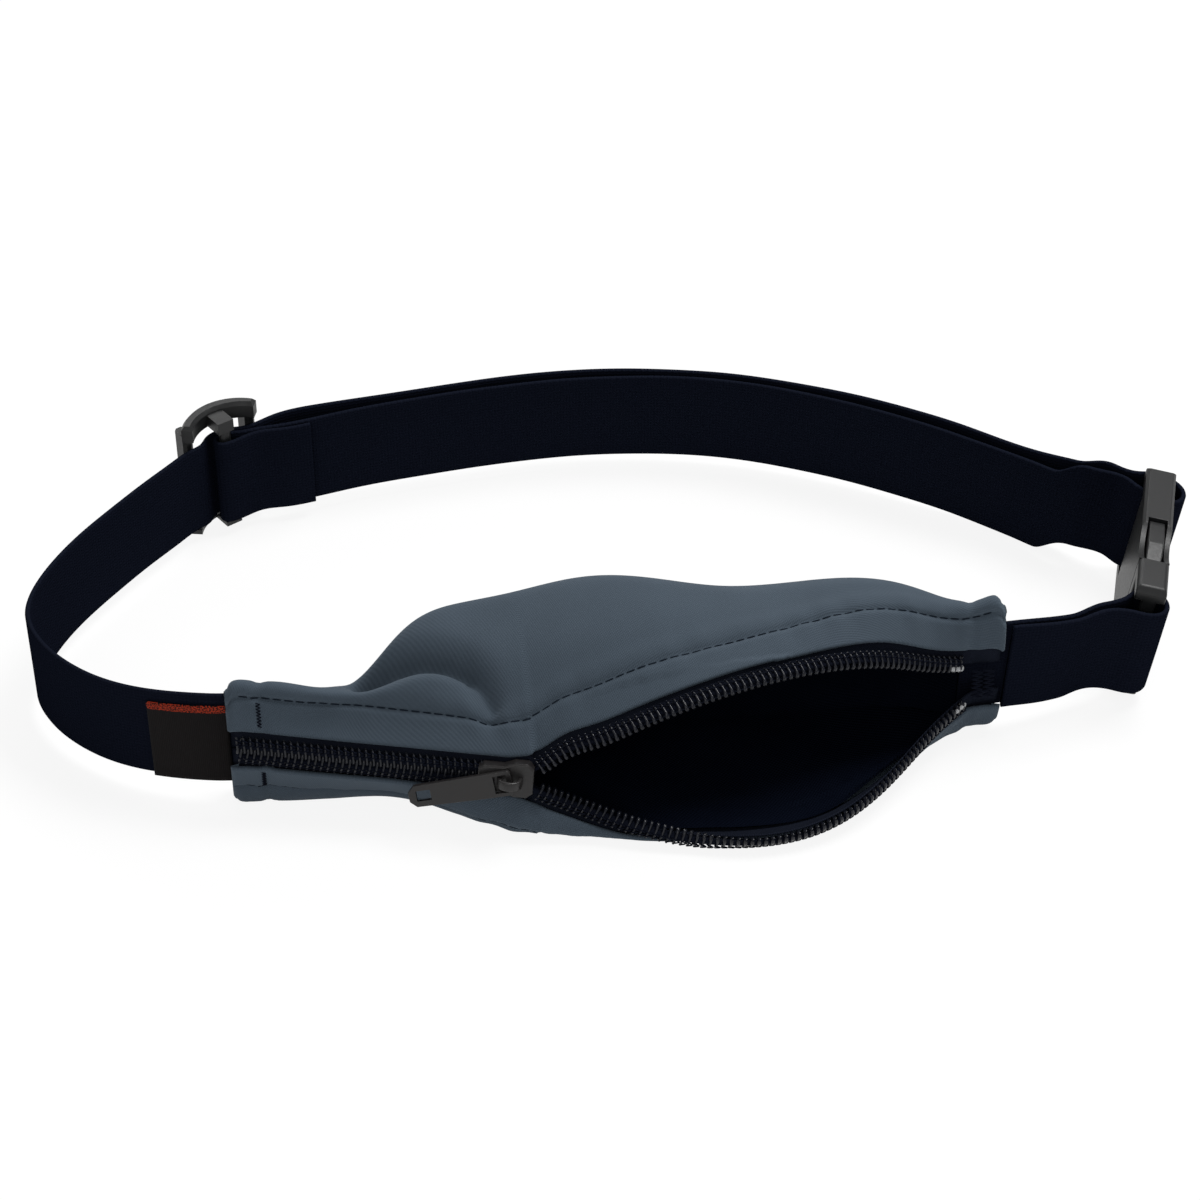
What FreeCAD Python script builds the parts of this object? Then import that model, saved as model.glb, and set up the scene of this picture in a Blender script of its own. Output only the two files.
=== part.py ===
"""Stretch money belt: a zipped fabric pocket on a loop of elastic webbing.

Frame: millimetres, +X along the pocket, +Y towards the wearer, +Z up.
The origin is the middle of the pocket's base, on the line between its two ends.
"""
import FreeCAD, Part
import math
import os
from FreeCAD import Matrix, Vector

os.makedirs("parts", exist_ok=True)

# ---------------------------------------------------------------- driving dimensions
# Webbing
webbing_width = 25.4
webbing_thickness = 1.3
layer_gap = 0.35            # between two layers of webbing, or webbing and plastic
sewn_in = 9.0               # webbing held inside each end of the pocket

# Pocket
pocket_length = 184.5
pocket_depth = 60.0         # front to back, where it is fullest
pocket_height = 43.5
end_height = 34.0           # the flat sewn ends
fabric_wall = 1.2
lining_wall = 0.5
lining_gap = 0.4
base_skim = 0.5             # how far the cloth is pressed flat by what it rests on
crease_depth = 4.5
crease_width = 3.4

# Zipper
fabric_edge = 5.4           # from the teeth's centre line to the cloth's edge
tape_inner_edge = 2.9      # from the teeth's centre line; just behind their roots
tape_under = 3.0            # tape hidden under the cloth
tape_thickness = 0.5
tape_gap = 0.3
tooth_pitch = 1.6
tooth_width = 0.62          # along the zipper
tooth_tip = 0.6             # past the centre line
tooth_root = 2.3
tooth_height = 1.8
tooth_gap = 0.6
zipper_tilt = 16.0          # degrees, how far the closed teeth face upward
stop_length = 2.2

# Slider and its pull
slider_length = 13.0
slider_plate = 1.1
slider_wall = 0.7
slider_clearance = 0.3
diamond_width = 2.0
bridge_width = 2.2
bridge_thickness = 1.0
bridge_radius = 2.0         # inside the bridge
pull_length = 24.5
pull_width = 6.2
pull_end_width = 5.4
pull_thickness = 1.2
pull_rim = 0.9              # beside and beyond the window that the bridge passes
pull_hole_length = 3.4
pull_hole_width = 2.6
pull_droop = 15.0           # degrees, how far the pull hangs below the zipper's line

# Plastic hardware
slot_clearance = 0.5        # webbing's edge to the slot's end
hardware_rail = 3.8         # beyond each end of a slot
hardware_height = webbing_width + 2 * (slot_clearance + hardware_rail)
adjuster_length = 23.0
adjuster_bar = 3.0
adjuster_centre_bar = 2.3
adjuster_outer = 6.0
adjuster_inner = 2.4
adjuster_rail = 3.6         # the rails' thickness, out from the webbing
buckle_length = 52.4
buckle_thickness = 7.6
buckle_bar = 3.2
socket_slot = 5.6
plug_slot = 5.2
plug_base = 12.7
socket_plate = 1.4
socket_side = 1.8
window_length = 17.2
arm_thickness = 4.0
arm_width = 2.8
catch_depth = 1.2
running_gap = 0.3
edge_round = 1.0
buckle_tip = 7.5            # degrees, how far the buckle leans in at its lower edge
buckle_lift = 0.4           # keeps its lower edge off the surface as it leans
end_lift = 2.0              # the webbing's rise where it enters each end of the pocket

# Label
label_length = 19.0
label_thickness = 0.5
label_drop = 2.8            # its top below the webbing's

# ---------------------------------------------------------------- places in plan
webbing_middle = end_height / 2
webbing_low = webbing_middle - webbing_width / 2
webbing_high = webbing_middle + webbing_width / 2
hardware_base = webbing_middle - hardware_height / 2
half_length = pocket_length / 2
half_webbing = webbing_thickness / 2


def unit(vector):
    result = Vector(vector)
    result.normalize()
    return result


class Frame:
    """Upright local axes in plan: `along`, and `out`, away from the wearer."""

    def __init__(self, centre, angle):
        radians = math.radians(angle)
        self.centre = centre
        self.along = Vector(math.cos(radians), math.sin(radians), 0)
        self.out = Vector(-self.along.y, self.along.x, 0)

    def at(self, along, out):
        return self.centre + self.along * along + self.out * out

    def place(self, shape):
        """Move a shape drawn in (along, out, up from its base) to where it belongs."""
        return shape.transformed(Matrix(
            self.along.x, self.out.x, 0, self.centre.x,
            self.along.y, self.out.y, 0, self.centre.y,
            0, 0, 1, hardware_base,
            0, 0, 0, 1))

    def tipped(self, shape, share=1.0):
        """Lean a placed shape or point about the buckle's long axis, at its middle height."""
        middle = self.centre + Vector(0, 0, webbing_middle)
        turn = FreeCAD.Rotation(self.along, -buckle_tip * share)
        lean = FreeCAD.Placement(Vector(0, 0, buckle_lift * share), turn, middle)
        if isinstance(shape, Vector):
            return lean.multVec(shape)
        return shape.transformed(lean.toMatrix())


adjuster_frame = Frame(Vector(-88.5, 108.0, 0), 30.0)
buckle_frame = Frame(Vector(137.3, 29.0, 0), 250.7)     # along points to the plug's end
tip_near, tip_far = 34.0, 66.0      # from the buckle's centre: full lean, and none


def smooth_share(value):
    value = min(max(value, 0.0), 1.0)
    return value * value * (3 - 2 * value)


def settled(point, line):
    """Where a point of the webbing lies once it leans with the buckle and rises to the pocket.

    `line` is the place on the webbing's middle line that the point belongs to.
    """
    rise = 0.0
    if line.y < 40:
        left = smooth_share((line.x + half_length + 35) / 30)
        right = smooth_share((half_length + 27 - line.x) / 24)
        rise = end_lift * min(left, right)
    away = line.distanceToPoint(buckle_frame.centre)
    share = smooth_share((tip_far - away) / (tip_far - tip_near))
    return buckle_frame.tipped(point, share) + Vector(0, 0, rise)


# ---------------------------------------------------------------- helpers
def spline_through(points, parameters=None):
    curve = Part.BSplineCurve()
    if parameters is None:
        curve.interpolate(points)
    else:
        curve.interpolate(Points=points, Parameters=parameters)
    return curve


def chord_parameters(points):
    values = [0.0]
    for before, after in zip(points, points[1:]):
        values.append(values[-1] + before.distanceToPoint(after))
    return values


class Path:
    """A smooth plan line through hand-placed points."""

    def __init__(self, points):
        self.parameters = chord_parameters(points)
        self.curve = spline_through(points, self.parameters)

    def side(self, start, end, offset, step):
        """Points `offset` to the left of the line, between two of its parameters."""
        count = max(2, round((end - start) / step))
        result = []
        for index in range(count + 1):
            value = start + (end - start) * index / count
            point = self.curve.value(value)
            ahead = unit(self.curve.tangent(value)[0])
            result.append(point + Vector(-ahead.y, ahead.x, 0) * offset)
        return result

    def strip(self, start, end, low, high, near, far, step=4.0):
        """An upright strip whose two faces lie `near` and `far` left of the line."""
        middle = self.side(start, end, 0, step)
        faces = []
        for offset in (near, far):
            plan = self.side(start, end, offset, step)
            faces.append([
                [settled(point + Vector(0, 0, height), line) for height in (low, (low + high) / 2, high)]
                for point, line in zip(plan, middle)])
        return skin(*faces)

    def webbing(self, first, last, step=4.0):
        """The webbing between two of the line's hand-placed points."""
        start, end = self.parameters[first], self.parameters[last]
        return self.strip(start, end, webbing_low, webbing_high, -half_webbing, half_webbing, step)


def skin(outer, inner):
    """A solid between two grids of points, closed round their edges."""
    rows, columns = len(outer), len(outer[0])
    points = [point for grid in (outer, inner) for row in grid for point in row]

    def place(layer, row, column):
        return (layer * rows + row) * columns + column

    rim = [(0, column) for column in range(columns)]
    rim += [(row, columns - 1) for row in range(1, rows)]
    rim += [(rows - 1, column) for column in range(columns - 2, -1, -1)]
    rim += [(row, 0) for row in range(rows - 2, 0, -1)]
    corners = []
    for row in range(rows - 1):
        for column in range(columns - 1):
            cell = [(row, column), (row + 1, column), (row + 1, column + 1), (row, column + 1)]
            corners.append([place(0, *spot) for spot in cell])
            corners.append([place(1, *spot) for spot in cell[::-1]])
    for one, two in zip(rim, rim[1:] + rim[:1]):
        corners.append([place(0, *one), place(0, *two), place(1, *two), place(1, *one)])
    facets = []
    for a, b, c, d in corners:
        facets += [(a, b, c), (a, c, d)]
    shell = Part.Shape()
    shell.makeShapeFromMesh((points, facets), 0.001)
    solid = Part.makeSolid(shell)
    if solid.Volume < 0:
        solid.reverse()
    return solid


def box_between(low, high):
    size = [b - a for a, b in zip(low, high)]
    return Part.makeBox(*size, Vector(*low))


def eased(shape, radius, keep):
    edges = [edge for edge in shape.Edges if keep(edge)]
    return shape.makeChamfer(radius * 0.8, edges)


def export(name, shape):
    if not shape.isValid():
        raise ValueError(name + " is not a valid shape")
    shape.exportStep("parts/" + name + ".step")


# ---------------------------------------------------------------- webbing
# One length of elastic: out of the pocket's left end, through the adjuster, round the
# back to the buckle's socket, back again, round the adjuster's centre bar to a sewn end.
left_run = [
    Vector(sewn_in - half_length, 0, 0), Vector(-half_length, 0, 0), Vector(-101, 1.6, 0),
    Vector(-115, 7.8, 0), Vector(-128, 18.2, 0), Vector(-135.7, 29.5, 0), Vector(-138.6, 40, 0),
    Vector(-136, 52, 0), Vector(-128.8, 65.6, 0), Vector(-119.7, 77.6, 0), Vector(-110.6, 88.4, 0)]
adjuster_pass = [
    adjuster_frame.at(along, out) for along, out in (
        (-16, -1.9), (-10, -0.3), (-6.2, 0.35), (-3.5, 2.2), (0, 3.0), (3.5, 2.2),
        (6.2, 0.7), (10, 0), (16, 0.1))]
back_outer = [
    Vector(-62, 119.3, 0), Vector(-46, 121.3, 0), Vector(-30, 123.3, 0), Vector(-14, 125, 0),
    Vector(3, 125.6, 0), Vector(19, 124.4, 0), Vector(35, 121.4, 0), Vector(50, 117, 0),
    Vector(65, 110.5, 0), Vector(80, 102.5, 0), Vector(94, 93.5, 0), Vector(108, 84, 0),
    Vector(121, 73.5, 0), Vector(133, 63.5, 0)]
socket_loop = [
    buckle_frame.at(along, out) for along, out in (
        (-28.1, -6.0), (-29.3, -0.8), (-27.4, 4.3), (-22.6, 6.7), (-18.9, 4.6),
        (-20.2, 0), (-21.8, -4.6), (-24.6, -8.2))]
back_inner = [
    Vector(130, 58.6, 0), Vector(118, 69.3, 0), Vector(104, 80.8, 0), Vector(88, 92.2, 0),
    Vector(73, 102, 0), Vector(58, 110, 0), Vector(43, 116, 0), Vector(25, 120, 0),
    Vector(8, 121.6, 0), Vector(-14, 121, 0), Vector(-36, 118.6, 0), Vector(-54, 115.6, 0),
    Vector(-66, 112.8, 0)]
end_loop = [Vector(-73.5, 111.4, 0)] + [
    adjuster_frame.at(along, out) for along, out in (
        (8, -1.75), (5.2, -0.75), (2.8, 0.55), (0.8, 1.1), (-0.5, 1.1), (-1.95, 0.5),
        (-2.55, -0.95), (-1.95, -2.4), (-0.5, -3.0), (3.5, -3.2), (8, -3.45))
] + [Vector(-73.2, 109.6, 0), Vector(-65.5, 110.9, 0)]
elastic = Path(left_run + adjuster_pass + back_outer + socket_loop + back_inner + end_loop)

# Where the elastic is parted, as places in its list of points. The stretches beside the
# adjuster and the socket are pieces of their own, because they give as those two slide.
pass_start = len(left_run) - 1
pass_end = pass_start + len(adjuster_pass) + 1
loop_start = pass_end + len(back_outer) - 2
bend_outer_start = loop_start - 3
loop_end = loop_start + len(socket_loop) + 3
bend_inner_end = loop_end + 2
inner_end = pass_end + len(back_outer) + len(socket_loop) + len(back_inner) - 1
slack_start = inner_end - 2
webbing_end = inner_end + len(end_loop)

# A short doubled length joins the pocket's right end to the buckle's plug.
right_run = Path([
    Vector(half_length - sewn_in, 0, 0), Vector(half_length, 0, 0), Vector(101, 0.6, 0),
    Vector(110, 2.4, 0), Vector(118, 4.9, 0)] + [
        buckle_frame.at(along, out) for along, out in (
            (24.3, -4.9), (21.4, -3.0), (20.3, 0), (21.7, 3.4), (24.9, 4.7), (28.3, 3.4),
            (29.7, 0.6))] + [
    Vector(124, 2.1, 0), Vector(117.5, 2.5, 0), Vector(110.6, 0.6, 0), Vector(103, -1.2, 0)])


def make_webbing():
    tight = 1.2             # step along the small loops
    export("strap_left_run", elastic.webbing(0, pass_start))
    export("strap_adjuster_pass", elastic.webbing(pass_start, pass_end, tight))
    export("strap_back_outer", elastic.webbing(pass_end, bend_outer_start))
    export("strap_bend_outer", elastic.webbing(bend_outer_start, loop_start))
    export("strap_socket_loop", elastic.webbing(loop_start, loop_end, tight * 1.5))
    export("strap_bend_inner", elastic.webbing(loop_end, bend_inner_end))
    export("strap_back_inner", elastic.webbing(bend_inner_end, slack_start))
    export("strap_slack_inner", elastic.webbing(slack_start, inner_end))
    export("strap_end_loop", elastic.webbing(inner_end, webbing_end, tight * 0.8))
    export("strap_right", right_run.webbing(0, len(right_run.parameters) - 1, tight * 1.6))


def make_label():
    near = half_webbing + tape_gap / 2
    start = elastic.parameters[1] + running_gap
    export("side_label", elastic.strip(
        start, start + label_length, webbing_low - running_gap, webbing_high - label_drop,
        near, near + label_thickness))


# ---------------------------------------------------------------- zipper line
# The closed teeth run straight from the pocket's left end to the slider; beyond it
# the two lips part. Heights and depths are shares of the pocket's own.
def in_pocket(x, y, z):
    return Vector(x * half_length, y * pocket_depth, z * pocket_height)


chain_start = in_pocket(-1.0, -0.095, 0.445)
chain_end = in_pocket(-0.31, -0.335, 0.355)
chain_along = unit(chain_end - chain_start)
chain_level = unit(chain_along.cross(Vector(0, 0, 1)))
chain_up = unit(chain_level.cross(chain_along))
tilt = math.radians(zipper_tilt)
chain_out = chain_level * math.cos(tilt) + chain_up * math.sin(tilt)
chain_side = unit(chain_out.cross(chain_along))

slider_front = 0.42 * slider_length     # from the slider's middle to its open end
row_spread = 1.4                        # each row's offset at the slider's open end


def spread_point(ahead, side):
    return chain_end + chain_along * ahead + chain_side * side


upper_lip = [
    chain_end, spread_point(slider_front / 2, 0.55), spread_point(slider_front, row_spread),
    in_pocket(-0.175, -0.345, 0.475), in_pocket(-0.09, -0.35, 0.545), in_pocket(0.02, -0.35, 0.645),
    in_pocket(0.17, -0.335, 0.755), in_pocket(0.35, -0.3, 0.82), in_pocket(0.53, -0.25, 0.81),
    in_pocket(0.68, -0.19, 0.72), in_pocket(0.82, -0.12, 0.575), in_pocket(0.93, -0.07, 0.5)]
lower_lip = [
    chain_end, spread_point(slider_front / 2, -0.55), spread_point(slider_front, -row_spread),
    in_pocket(-0.17, -0.385, 0.235), in_pocket(-0.04, -0.465, 0.155), in_pocket(0.1, -0.55, 0.105),
    in_pocket(0.25, -0.625, 0.085), in_pocket(0.39, -0.625, 0.085), in_pocket(0.52, -0.565, 0.115),
    in_pocket(0.66, -0.42, 0.17), in_pocket(0.81, -0.22, 0.26), in_pocket(0.93, -0.09, 0.33)]
upper_curve = spline_through(upper_lip)
lower_curve = spline_through(lower_lip)


def where_x(curve, x):
    """The point of a lip at one distance along the pocket."""
    low, high = curve.FirstParameter, curve.LastParameter
    for _ in range(40):
        middle = (low + high) / 2
        if curve.value(middle).x < x:
            low = middle
        else:
            high = middle
    return curve.value((low + high) / 2)


# ---------------------------------------------------------------- pocket sections
# Shares of half_length; then of pocket_depth and pocket_height: the belly under the
# zipper, where the base starts and ends, the back, the crest and the seam line.
stations = [
    # x, belly y z, base front back z, back y, crest y z, seam y z
    (-1.0, -0.055, 0.11, -0.045, 0.04, 0.0, 0.055, 0.0, 0.8, -0.058, 0.62),
    (-0.87, -0.085, 0.1, -0.065, 0.05, 0.0, 0.064, 0.0, 0.78, -0.07, 0.6),
    (-0.72, -0.12, 0.1, -0.075, 0.06, 0.0, 0.11, -0.03, 0.75, -0.1, 0.585),
    (-0.57, -0.18, 0.1, -0.105, 0.13, 0.0, 0.22, 0.12, 0.845, -0.145, 0.6),
    (-0.43, -0.33, 0.08, -0.22, 0.19, 0.0, 0.35, 0.23, 0.915, -0.19, 0.58),
    (-0.27, -0.47, 0.07, -0.36, 0.22, 0.0, 0.41, 0.26, 0.96, -0.2, 0.62),
    (-0.09, -0.53, 0.05, -0.43, 0.23, 0.0, 0.43, 0.26, 1.0, -0.18, 0.74),
    (0.11, -0.585, 0.03, -0.49, 0.22, 0.0, 0.4, 0.22, 0.995, -0.14, 0.83),
    (0.3, -0.6, 0.02, -0.5, 0.2, 0.0, 0.37, 0.16, 0.965, -0.105, 0.91),
    (0.5, -0.54, 0.03, -0.46, 0.19, 0.0, 0.35, 0.14, 0.955, -0.08, 0.925),
    (0.67, -0.36, 0.06, -0.28, 0.15, 0.0, 0.3, 0.12, 0.95, -0.06, 0.925),
    (0.82, -0.15, 0.09, -0.1, 0.1, 0.01, 0.19, 0.07, 0.905, -0.05, 0.85),
    (0.93, -0.068, 0.14, -0.048, 0.05, 0.05, 0.08, 0.01, 0.86, -0.058, 0.77),
    (1.0, -0.055, 0.16, -0.045, 0.04, 0.075, 0.055, 0.0, 0.85, -0.058, 0.73)]
crest_half = 0.03                       # the crest is rounded over this share of the depth
flat_steps = (1.6, 3.2, 4.4)            # the closed zipper keeps the cloth flat beside it

# The crease behind the front hem, beside the closed zipper: plan shares of the pocket.
crease_line = [in_pocket(*place, 0) for place in (
    (-0.67, 0.017), (-0.54, 0.025), (-0.43, 0.0), (-0.363, -0.067), (-0.336, -0.15))]
crease_path = Part.makePolygon(crease_line)
crease_start, crease_end = -0.78, -0.26
crease_floor = 0.48                     # share of the height above which it cuts
crease_fade = 0.13                      # shares over which it fades in and out


def creased(point):
    """Lower a point of the pocket's upper side where the crease runs."""
    flat = Part.Vertex(Vector(point.x, point.y, 0))
    gap = flat.distToShape(crease_path)[0]
    fade_in = (point.x / half_length - crease_start) / crease_fade
    fade_out = (crease_end - point.x / half_length) / crease_fade
    high = (point.z / pocket_height - crease_floor) / crease_fade
    share = 1.0
    for part_share in (fade_in, fade_out, high):
        share *= min(max(part_share, 0.0), 1.0)
    point.z -= crease_depth * share * math.exp(-(gap / crease_width) ** 2)


columns = [
    spline_through([Vector(row[0], row[index], 0) for row in stations])
    for index in range(1, len(stations[0]))]


class Section:
    """The cloth's outer line in one upright plane, from the lower lip to the upper."""

    def __init__(self, x):
        """`x` is the plane's place along the pocket, as a share of half its length."""
        shares = [where_x(column, x).y for column in columns]
        belly_y, belly_z, base_front, base_back, base_z, back, crest_y, crest_z, seam_y, seam_z = shares
        self.x = x * half_length
        if self.x <= chain_end.x:
            share = (self.x - chain_start.x) / (chain_end.x - chain_start.x)
            self.lower = self.upper = chain_start + (chain_end - chain_start) * share
        else:
            self.lower = where_x(lower_curve, self.x)
            self.upper = where_x(upper_curve, self.x)
            self.lower.x = self.upper.x = self.x
        start, end = [self.lower], [self.upper]
        if self.x <= chain_end.x + slider_front:
            across = unit(Vector(0, chain_side.y, chain_side.z))
            start += [self.lower - across * step for step in flat_steps]
            end = [self.upper + across * step for step in flat_steps[::-1]] + end
        shoulder = (back * 0.85 + crest_y * 0.15, crest_z * 0.86)
        brow = (seam_y * 0.7 + crest_y * 0.3, seam_z * 0.25 + crest_z * 0.75)
        outline = [(belly_y, belly_z)]
        outline += [(base_front + (base_back - base_front) * index / 3, base_z) for index in range(4)]
        outline += [
            (back * 0.97, crest_z * 0.18), (back, crest_z * 0.5), shoulder,
            (crest_y + crest_half, crest_z), (crest_y - crest_half, crest_z), brow, (seam_y, seam_z)]
        middle = [in_pocket(x, *point) for point in outline]
        for point in middle[1:5]:
            point.z -= base_skim
        curve = Part.BSplineCurve()
        curve.buildFromPoles(start + middle + end, False, 3)
        self.edge = curve.toShape()
        self.length = self.edge.Length

    def at(self, distance, depth):
        """A point `distance` from the lower lip, `depth` below the cloth's surface."""
        value = self.edge.getParameterByLength(distance)
        point = self.edge.valueAt(value)
        ahead = unit(self.edge.tangentAt(value))
        return point + Vector(0, ahead.z, -ahead.y) * depth * inward

    def row(self, start, end, depth, count):
        """Points between two distances, `depth` below the surface and above the base."""
        points = [self.at(start + (end - start) * index / (count - 1), depth) for index in range(count)]
        for point in points:
            creased(point)
            point.z = max(point.z, depth)
        return points


inward = -1.0
closed_sections = 12
open_sections = 15
first_open = chain_end.x + slider_front
section_places = [
    chain_start.x + (chain_end.x - chain_start.x) * index / closed_sections
    for index in range(closed_sections + 1)]
section_places += [chain_end.x + slider_front / 2]
section_places += [
    first_open + (half_length - first_open) * index / open_sections
    for index in range(open_sections + 1)]
sections = [Section(place / half_length) for place in section_places]


def cloth_band(start, end, outer, inner, count, among=sections):
    """A closed band of cloth. `start` and `end` take a section to a distance along it."""
    return skin(*[
        [section.row(start(section), end(section), depth, count) for section in among]
        for depth in (outer, inner)])


def make_pocket():
    export("pocket_shell", cloth_band(
        lambda section: fabric_edge, lambda section: section.length - fabric_edge,
        0, fabric_wall, 36))
    depth = fabric_wall + lining_gap
    inset = fabric_edge + tape_under + running_gap
    export("pocket_lining", cloth_band(
        lambda section: inset, lambda section: section.length - inset,
        depth, depth + lining_wall, 20, sections[2:-2]))


# ---------------------------------------------------------------- zipper
tape_depth = fabric_wall + tape_gap
tooth_floor = tooth_gap - tape_depth
tooth_top = tooth_floor + tooth_height


def axes_matrix(origin, along, side, out):
    return Matrix(
        along.x, side.x, out.x, origin.x,
        along.y, side.y, out.y, origin.y,
        along.z, side.z, out.z, origin.z,
        0, 0, 0, 1)


def on_lip(curve, distance, upper):
    """Axes on a lip: along it, into the cloth and out of it."""
    edge = curve.toShape()
    value = edge.getParameterByLength(distance)
    origin = edge.valueAt(value)
    along = unit(edge.tangentAt(value))
    section = Section(origin.x / half_length)
    inset = tape_inner_edge / 2
    if upper:
        side = section.edge.tangentAt(section.edge.getParameterByLength(section.length - inset)) * -1
    else:
        side = section.edge.tangentAt(section.edge.getParameterByLength(inset))
    out = along.cross(side) if upper else side.cross(along)
    out = unit(out)
    side = unit(out.cross(along)) if upper else unit(along.cross(out))
    return origin, along, side, out


def tooth(length=tooth_width, rise=0.0):
    return box_between(
        (-length / 2, -tooth_tip, tooth_floor), (length / 2, tooth_root, tooth_top + rise))


def placed(shape, origin, along, side, out):
    """Put a shape drawn in (along, side, out) on a lip; the lower lip's side is mirrored."""
    if along.cross(side).dot(out) < 0:
        shape = shape.mirror(Vector(0, 0, 0), Vector(0, 1, 0))
        side = side * -1
    return shape.transformed(axes_matrix(origin, along, side, out))


def make_tape(name, upper):
    start, end = tape_inner_edge, fabric_edge + tape_under
    if upper:
        band = cloth_band(
            lambda section: section.length - end, lambda section: section.length - start,
            tape_depth, tape_depth + tape_thickness, 6)
    else:
        band = cloth_band(
            lambda section: start, lambda section: end,
            tape_depth, tape_depth + tape_thickness, 6)
    export(name, band)


def make_teeth(name, curve, upper):
    side = chain_side if upper else chain_side * -1
    shift = 0 if upper else tooth_pitch / 2
    closed_length = (chain_end - chain_start).Length
    teeth = []
    count = int((closed_length - tooth_pitch) / tooth_pitch)
    for index in range(count):
        origin = chain_end - chain_along * (tooth_pitch * (index + 1) - shift)
        teeth.append(placed(tooth(), origin, chain_along, side, chain_out))
    hidden = slider_front + tooth_pitch * 1.5
    length = curve.toShape().Length
    count = int((length - hidden - stop_length) / tooth_pitch)
    for index in range(count):
        teeth.append(placed(tooth(), *on_lip(curve, hidden + tooth_pitch * index, upper)))
    export(name, Part.makeCompound(teeth))


def make_stops():
    stops = [
        placed(tooth(stop_length * 0.7, tooth_gap * 4), *on_lip(
            curve, curve.toShape().Length - stop_length / 2, upper))
        for curve, upper in ((upper_curve, True), (lower_curve, False))]
    export("zipper_top_stops", Part.makeCompound(stops))


# ---------------------------------------------------------------- slider and pull
plate_low = tooth_top + slider_clearance
plate_high = plate_low + slider_plate
under_high = -tape_depth - tape_thickness - slider_clearance * 2
slider_back = slider_front - slider_length
half_back = tooth_root + slider_clearance + slider_wall
half_front = row_spread * 0.75 + half_back
pivot_out = plate_high + slider_clearance + pull_thickness / 2


def on_zipper(shape):
    return shape.transformed(axes_matrix(chain_end, chain_along, chain_side, chain_out))


def prism(points, low, high):
    wire = Part.makePolygon([Vector(x, y, low) for x, y in points + points[:1]])
    return Part.Face(wire).extrude(Vector(0, 0, high - low))


def slider_outline(inset):
    """The slider's plan, narrow at its closed end and wide at the open one."""
    shoulder = slider_front - slider_length * 0.35
    back, front = half_back - inset, half_front - inset
    return [
        (slider_back, -back * 0.8), (slider_back + 1.2, -back), (shoulder - 2.5, -back),
        (shoulder, -front), (slider_front - 1.4, -front), (slider_front, -front * 0.72),
        (slider_front, front * 0.72), (slider_front - 1.4, front), (shoulder, front),
        (shoulder - 2.5, back), (slider_back + 1.2, back), (slider_back, back * 0.8)]


def half_ring(radius, steps=10):
    """The bridge's arch over the pull's bar, from front to back."""
    turns = [math.pi * step / steps for step in range(steps + 1)]
    return [(radius * math.cos(turn), pivot_out + radius * math.sin(turn)) for turn in turns]


def make_slider():
    top = prism(slider_outline(0), plate_low, plate_high)
    top = eased(top, slider_plate * 0.4, lambda edge: edge.BoundBox.ZMin > plate_high - 0.01)
    walls = prism(slider_outline(0), -tape_depth + slider_clearance * 2.5, plate_low)
    inside = prism(slider_outline(slider_wall), -pocket_height, plate_low)
    past = slider_length
    ends = box_between((-past, -half_back * 0.8 + 0.1, -past), (past, half_back * 0.8 - 0.1, plate_low))
    walls = walls.cut(inside).cut(ends)
    under = prism(slider_outline(slider_wall), under_high - slider_plate, under_high)
    half = diamond_width / 2
    diamond = prism(
        [(0, 0), (slider_front * 0.6, -half), (slider_front, -half * 0.7), (slider_front, half * 0.7),
         (slider_front * 0.6, half)], under_high, plate_low)
    body = top.fuse([walls, under, diamond]).removeSplitter()
    export("slider_body", on_zipper(body))

    outer = bridge_radius + bridge_thickness
    profile = [(outer, plate_high)] + half_ring(outer) + [(-outer, plate_high), (-bridge_radius, plate_high)]
    profile += half_ring(bridge_radius)[::-1] + [(bridge_radius, plate_high)]
    wire = Part.makePolygon([Vector(x, bridge_width / 2, z) for x, z in profile + profile[:1]])
    bridge = Part.Face(wire).extrude(Vector(0, -bridge_width, 0))
    export("slider_bridge", on_zipper(bridge))


def make_pull():
    """A flat tab with a window that the bridge passes through, drawn pointing back."""
    bar = pull_thickness / 2
    window = bridge_radius + bridge_thickness + running_gap * 2
    half, end_half = pull_width / 2, pull_end_width / 2
    far = -pull_length + bar
    tab = prism(
        [(bar, -half + bar), (0, -half), (-window - pull_rim * 2, -half), (far + 1.5, -end_half),
         (far, -end_half + 1.5), (far, end_half - 1.5), (far + 1.5, end_half),
         (-window - pull_rim * 2, half), (0, half), (bar, half - bar)], -bar, bar)
    opening = box_between((-window, -half + pull_rim, -bar), (-bar, half - pull_rim, bar))
    hole_end = far + pull_rim * 2
    hole = box_between(
        (hole_end, -pull_hole_width / 2, -bar), (hole_end + pull_hole_length, pull_hole_width / 2, bar))
    tab = tab.cut(opening.fuse(hole))
    tab.rotate(Vector(0, 0, 0), Vector(0, 0, 1), pull_droop)
    tab.translate(Vector(0, 0, pivot_out))
    export("pull_tab", on_zipper(tab))


# ---------------------------------------------------------------- adjuster
slot_low = hardware_rail
slot_high = hardware_height - hardware_rail


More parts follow.
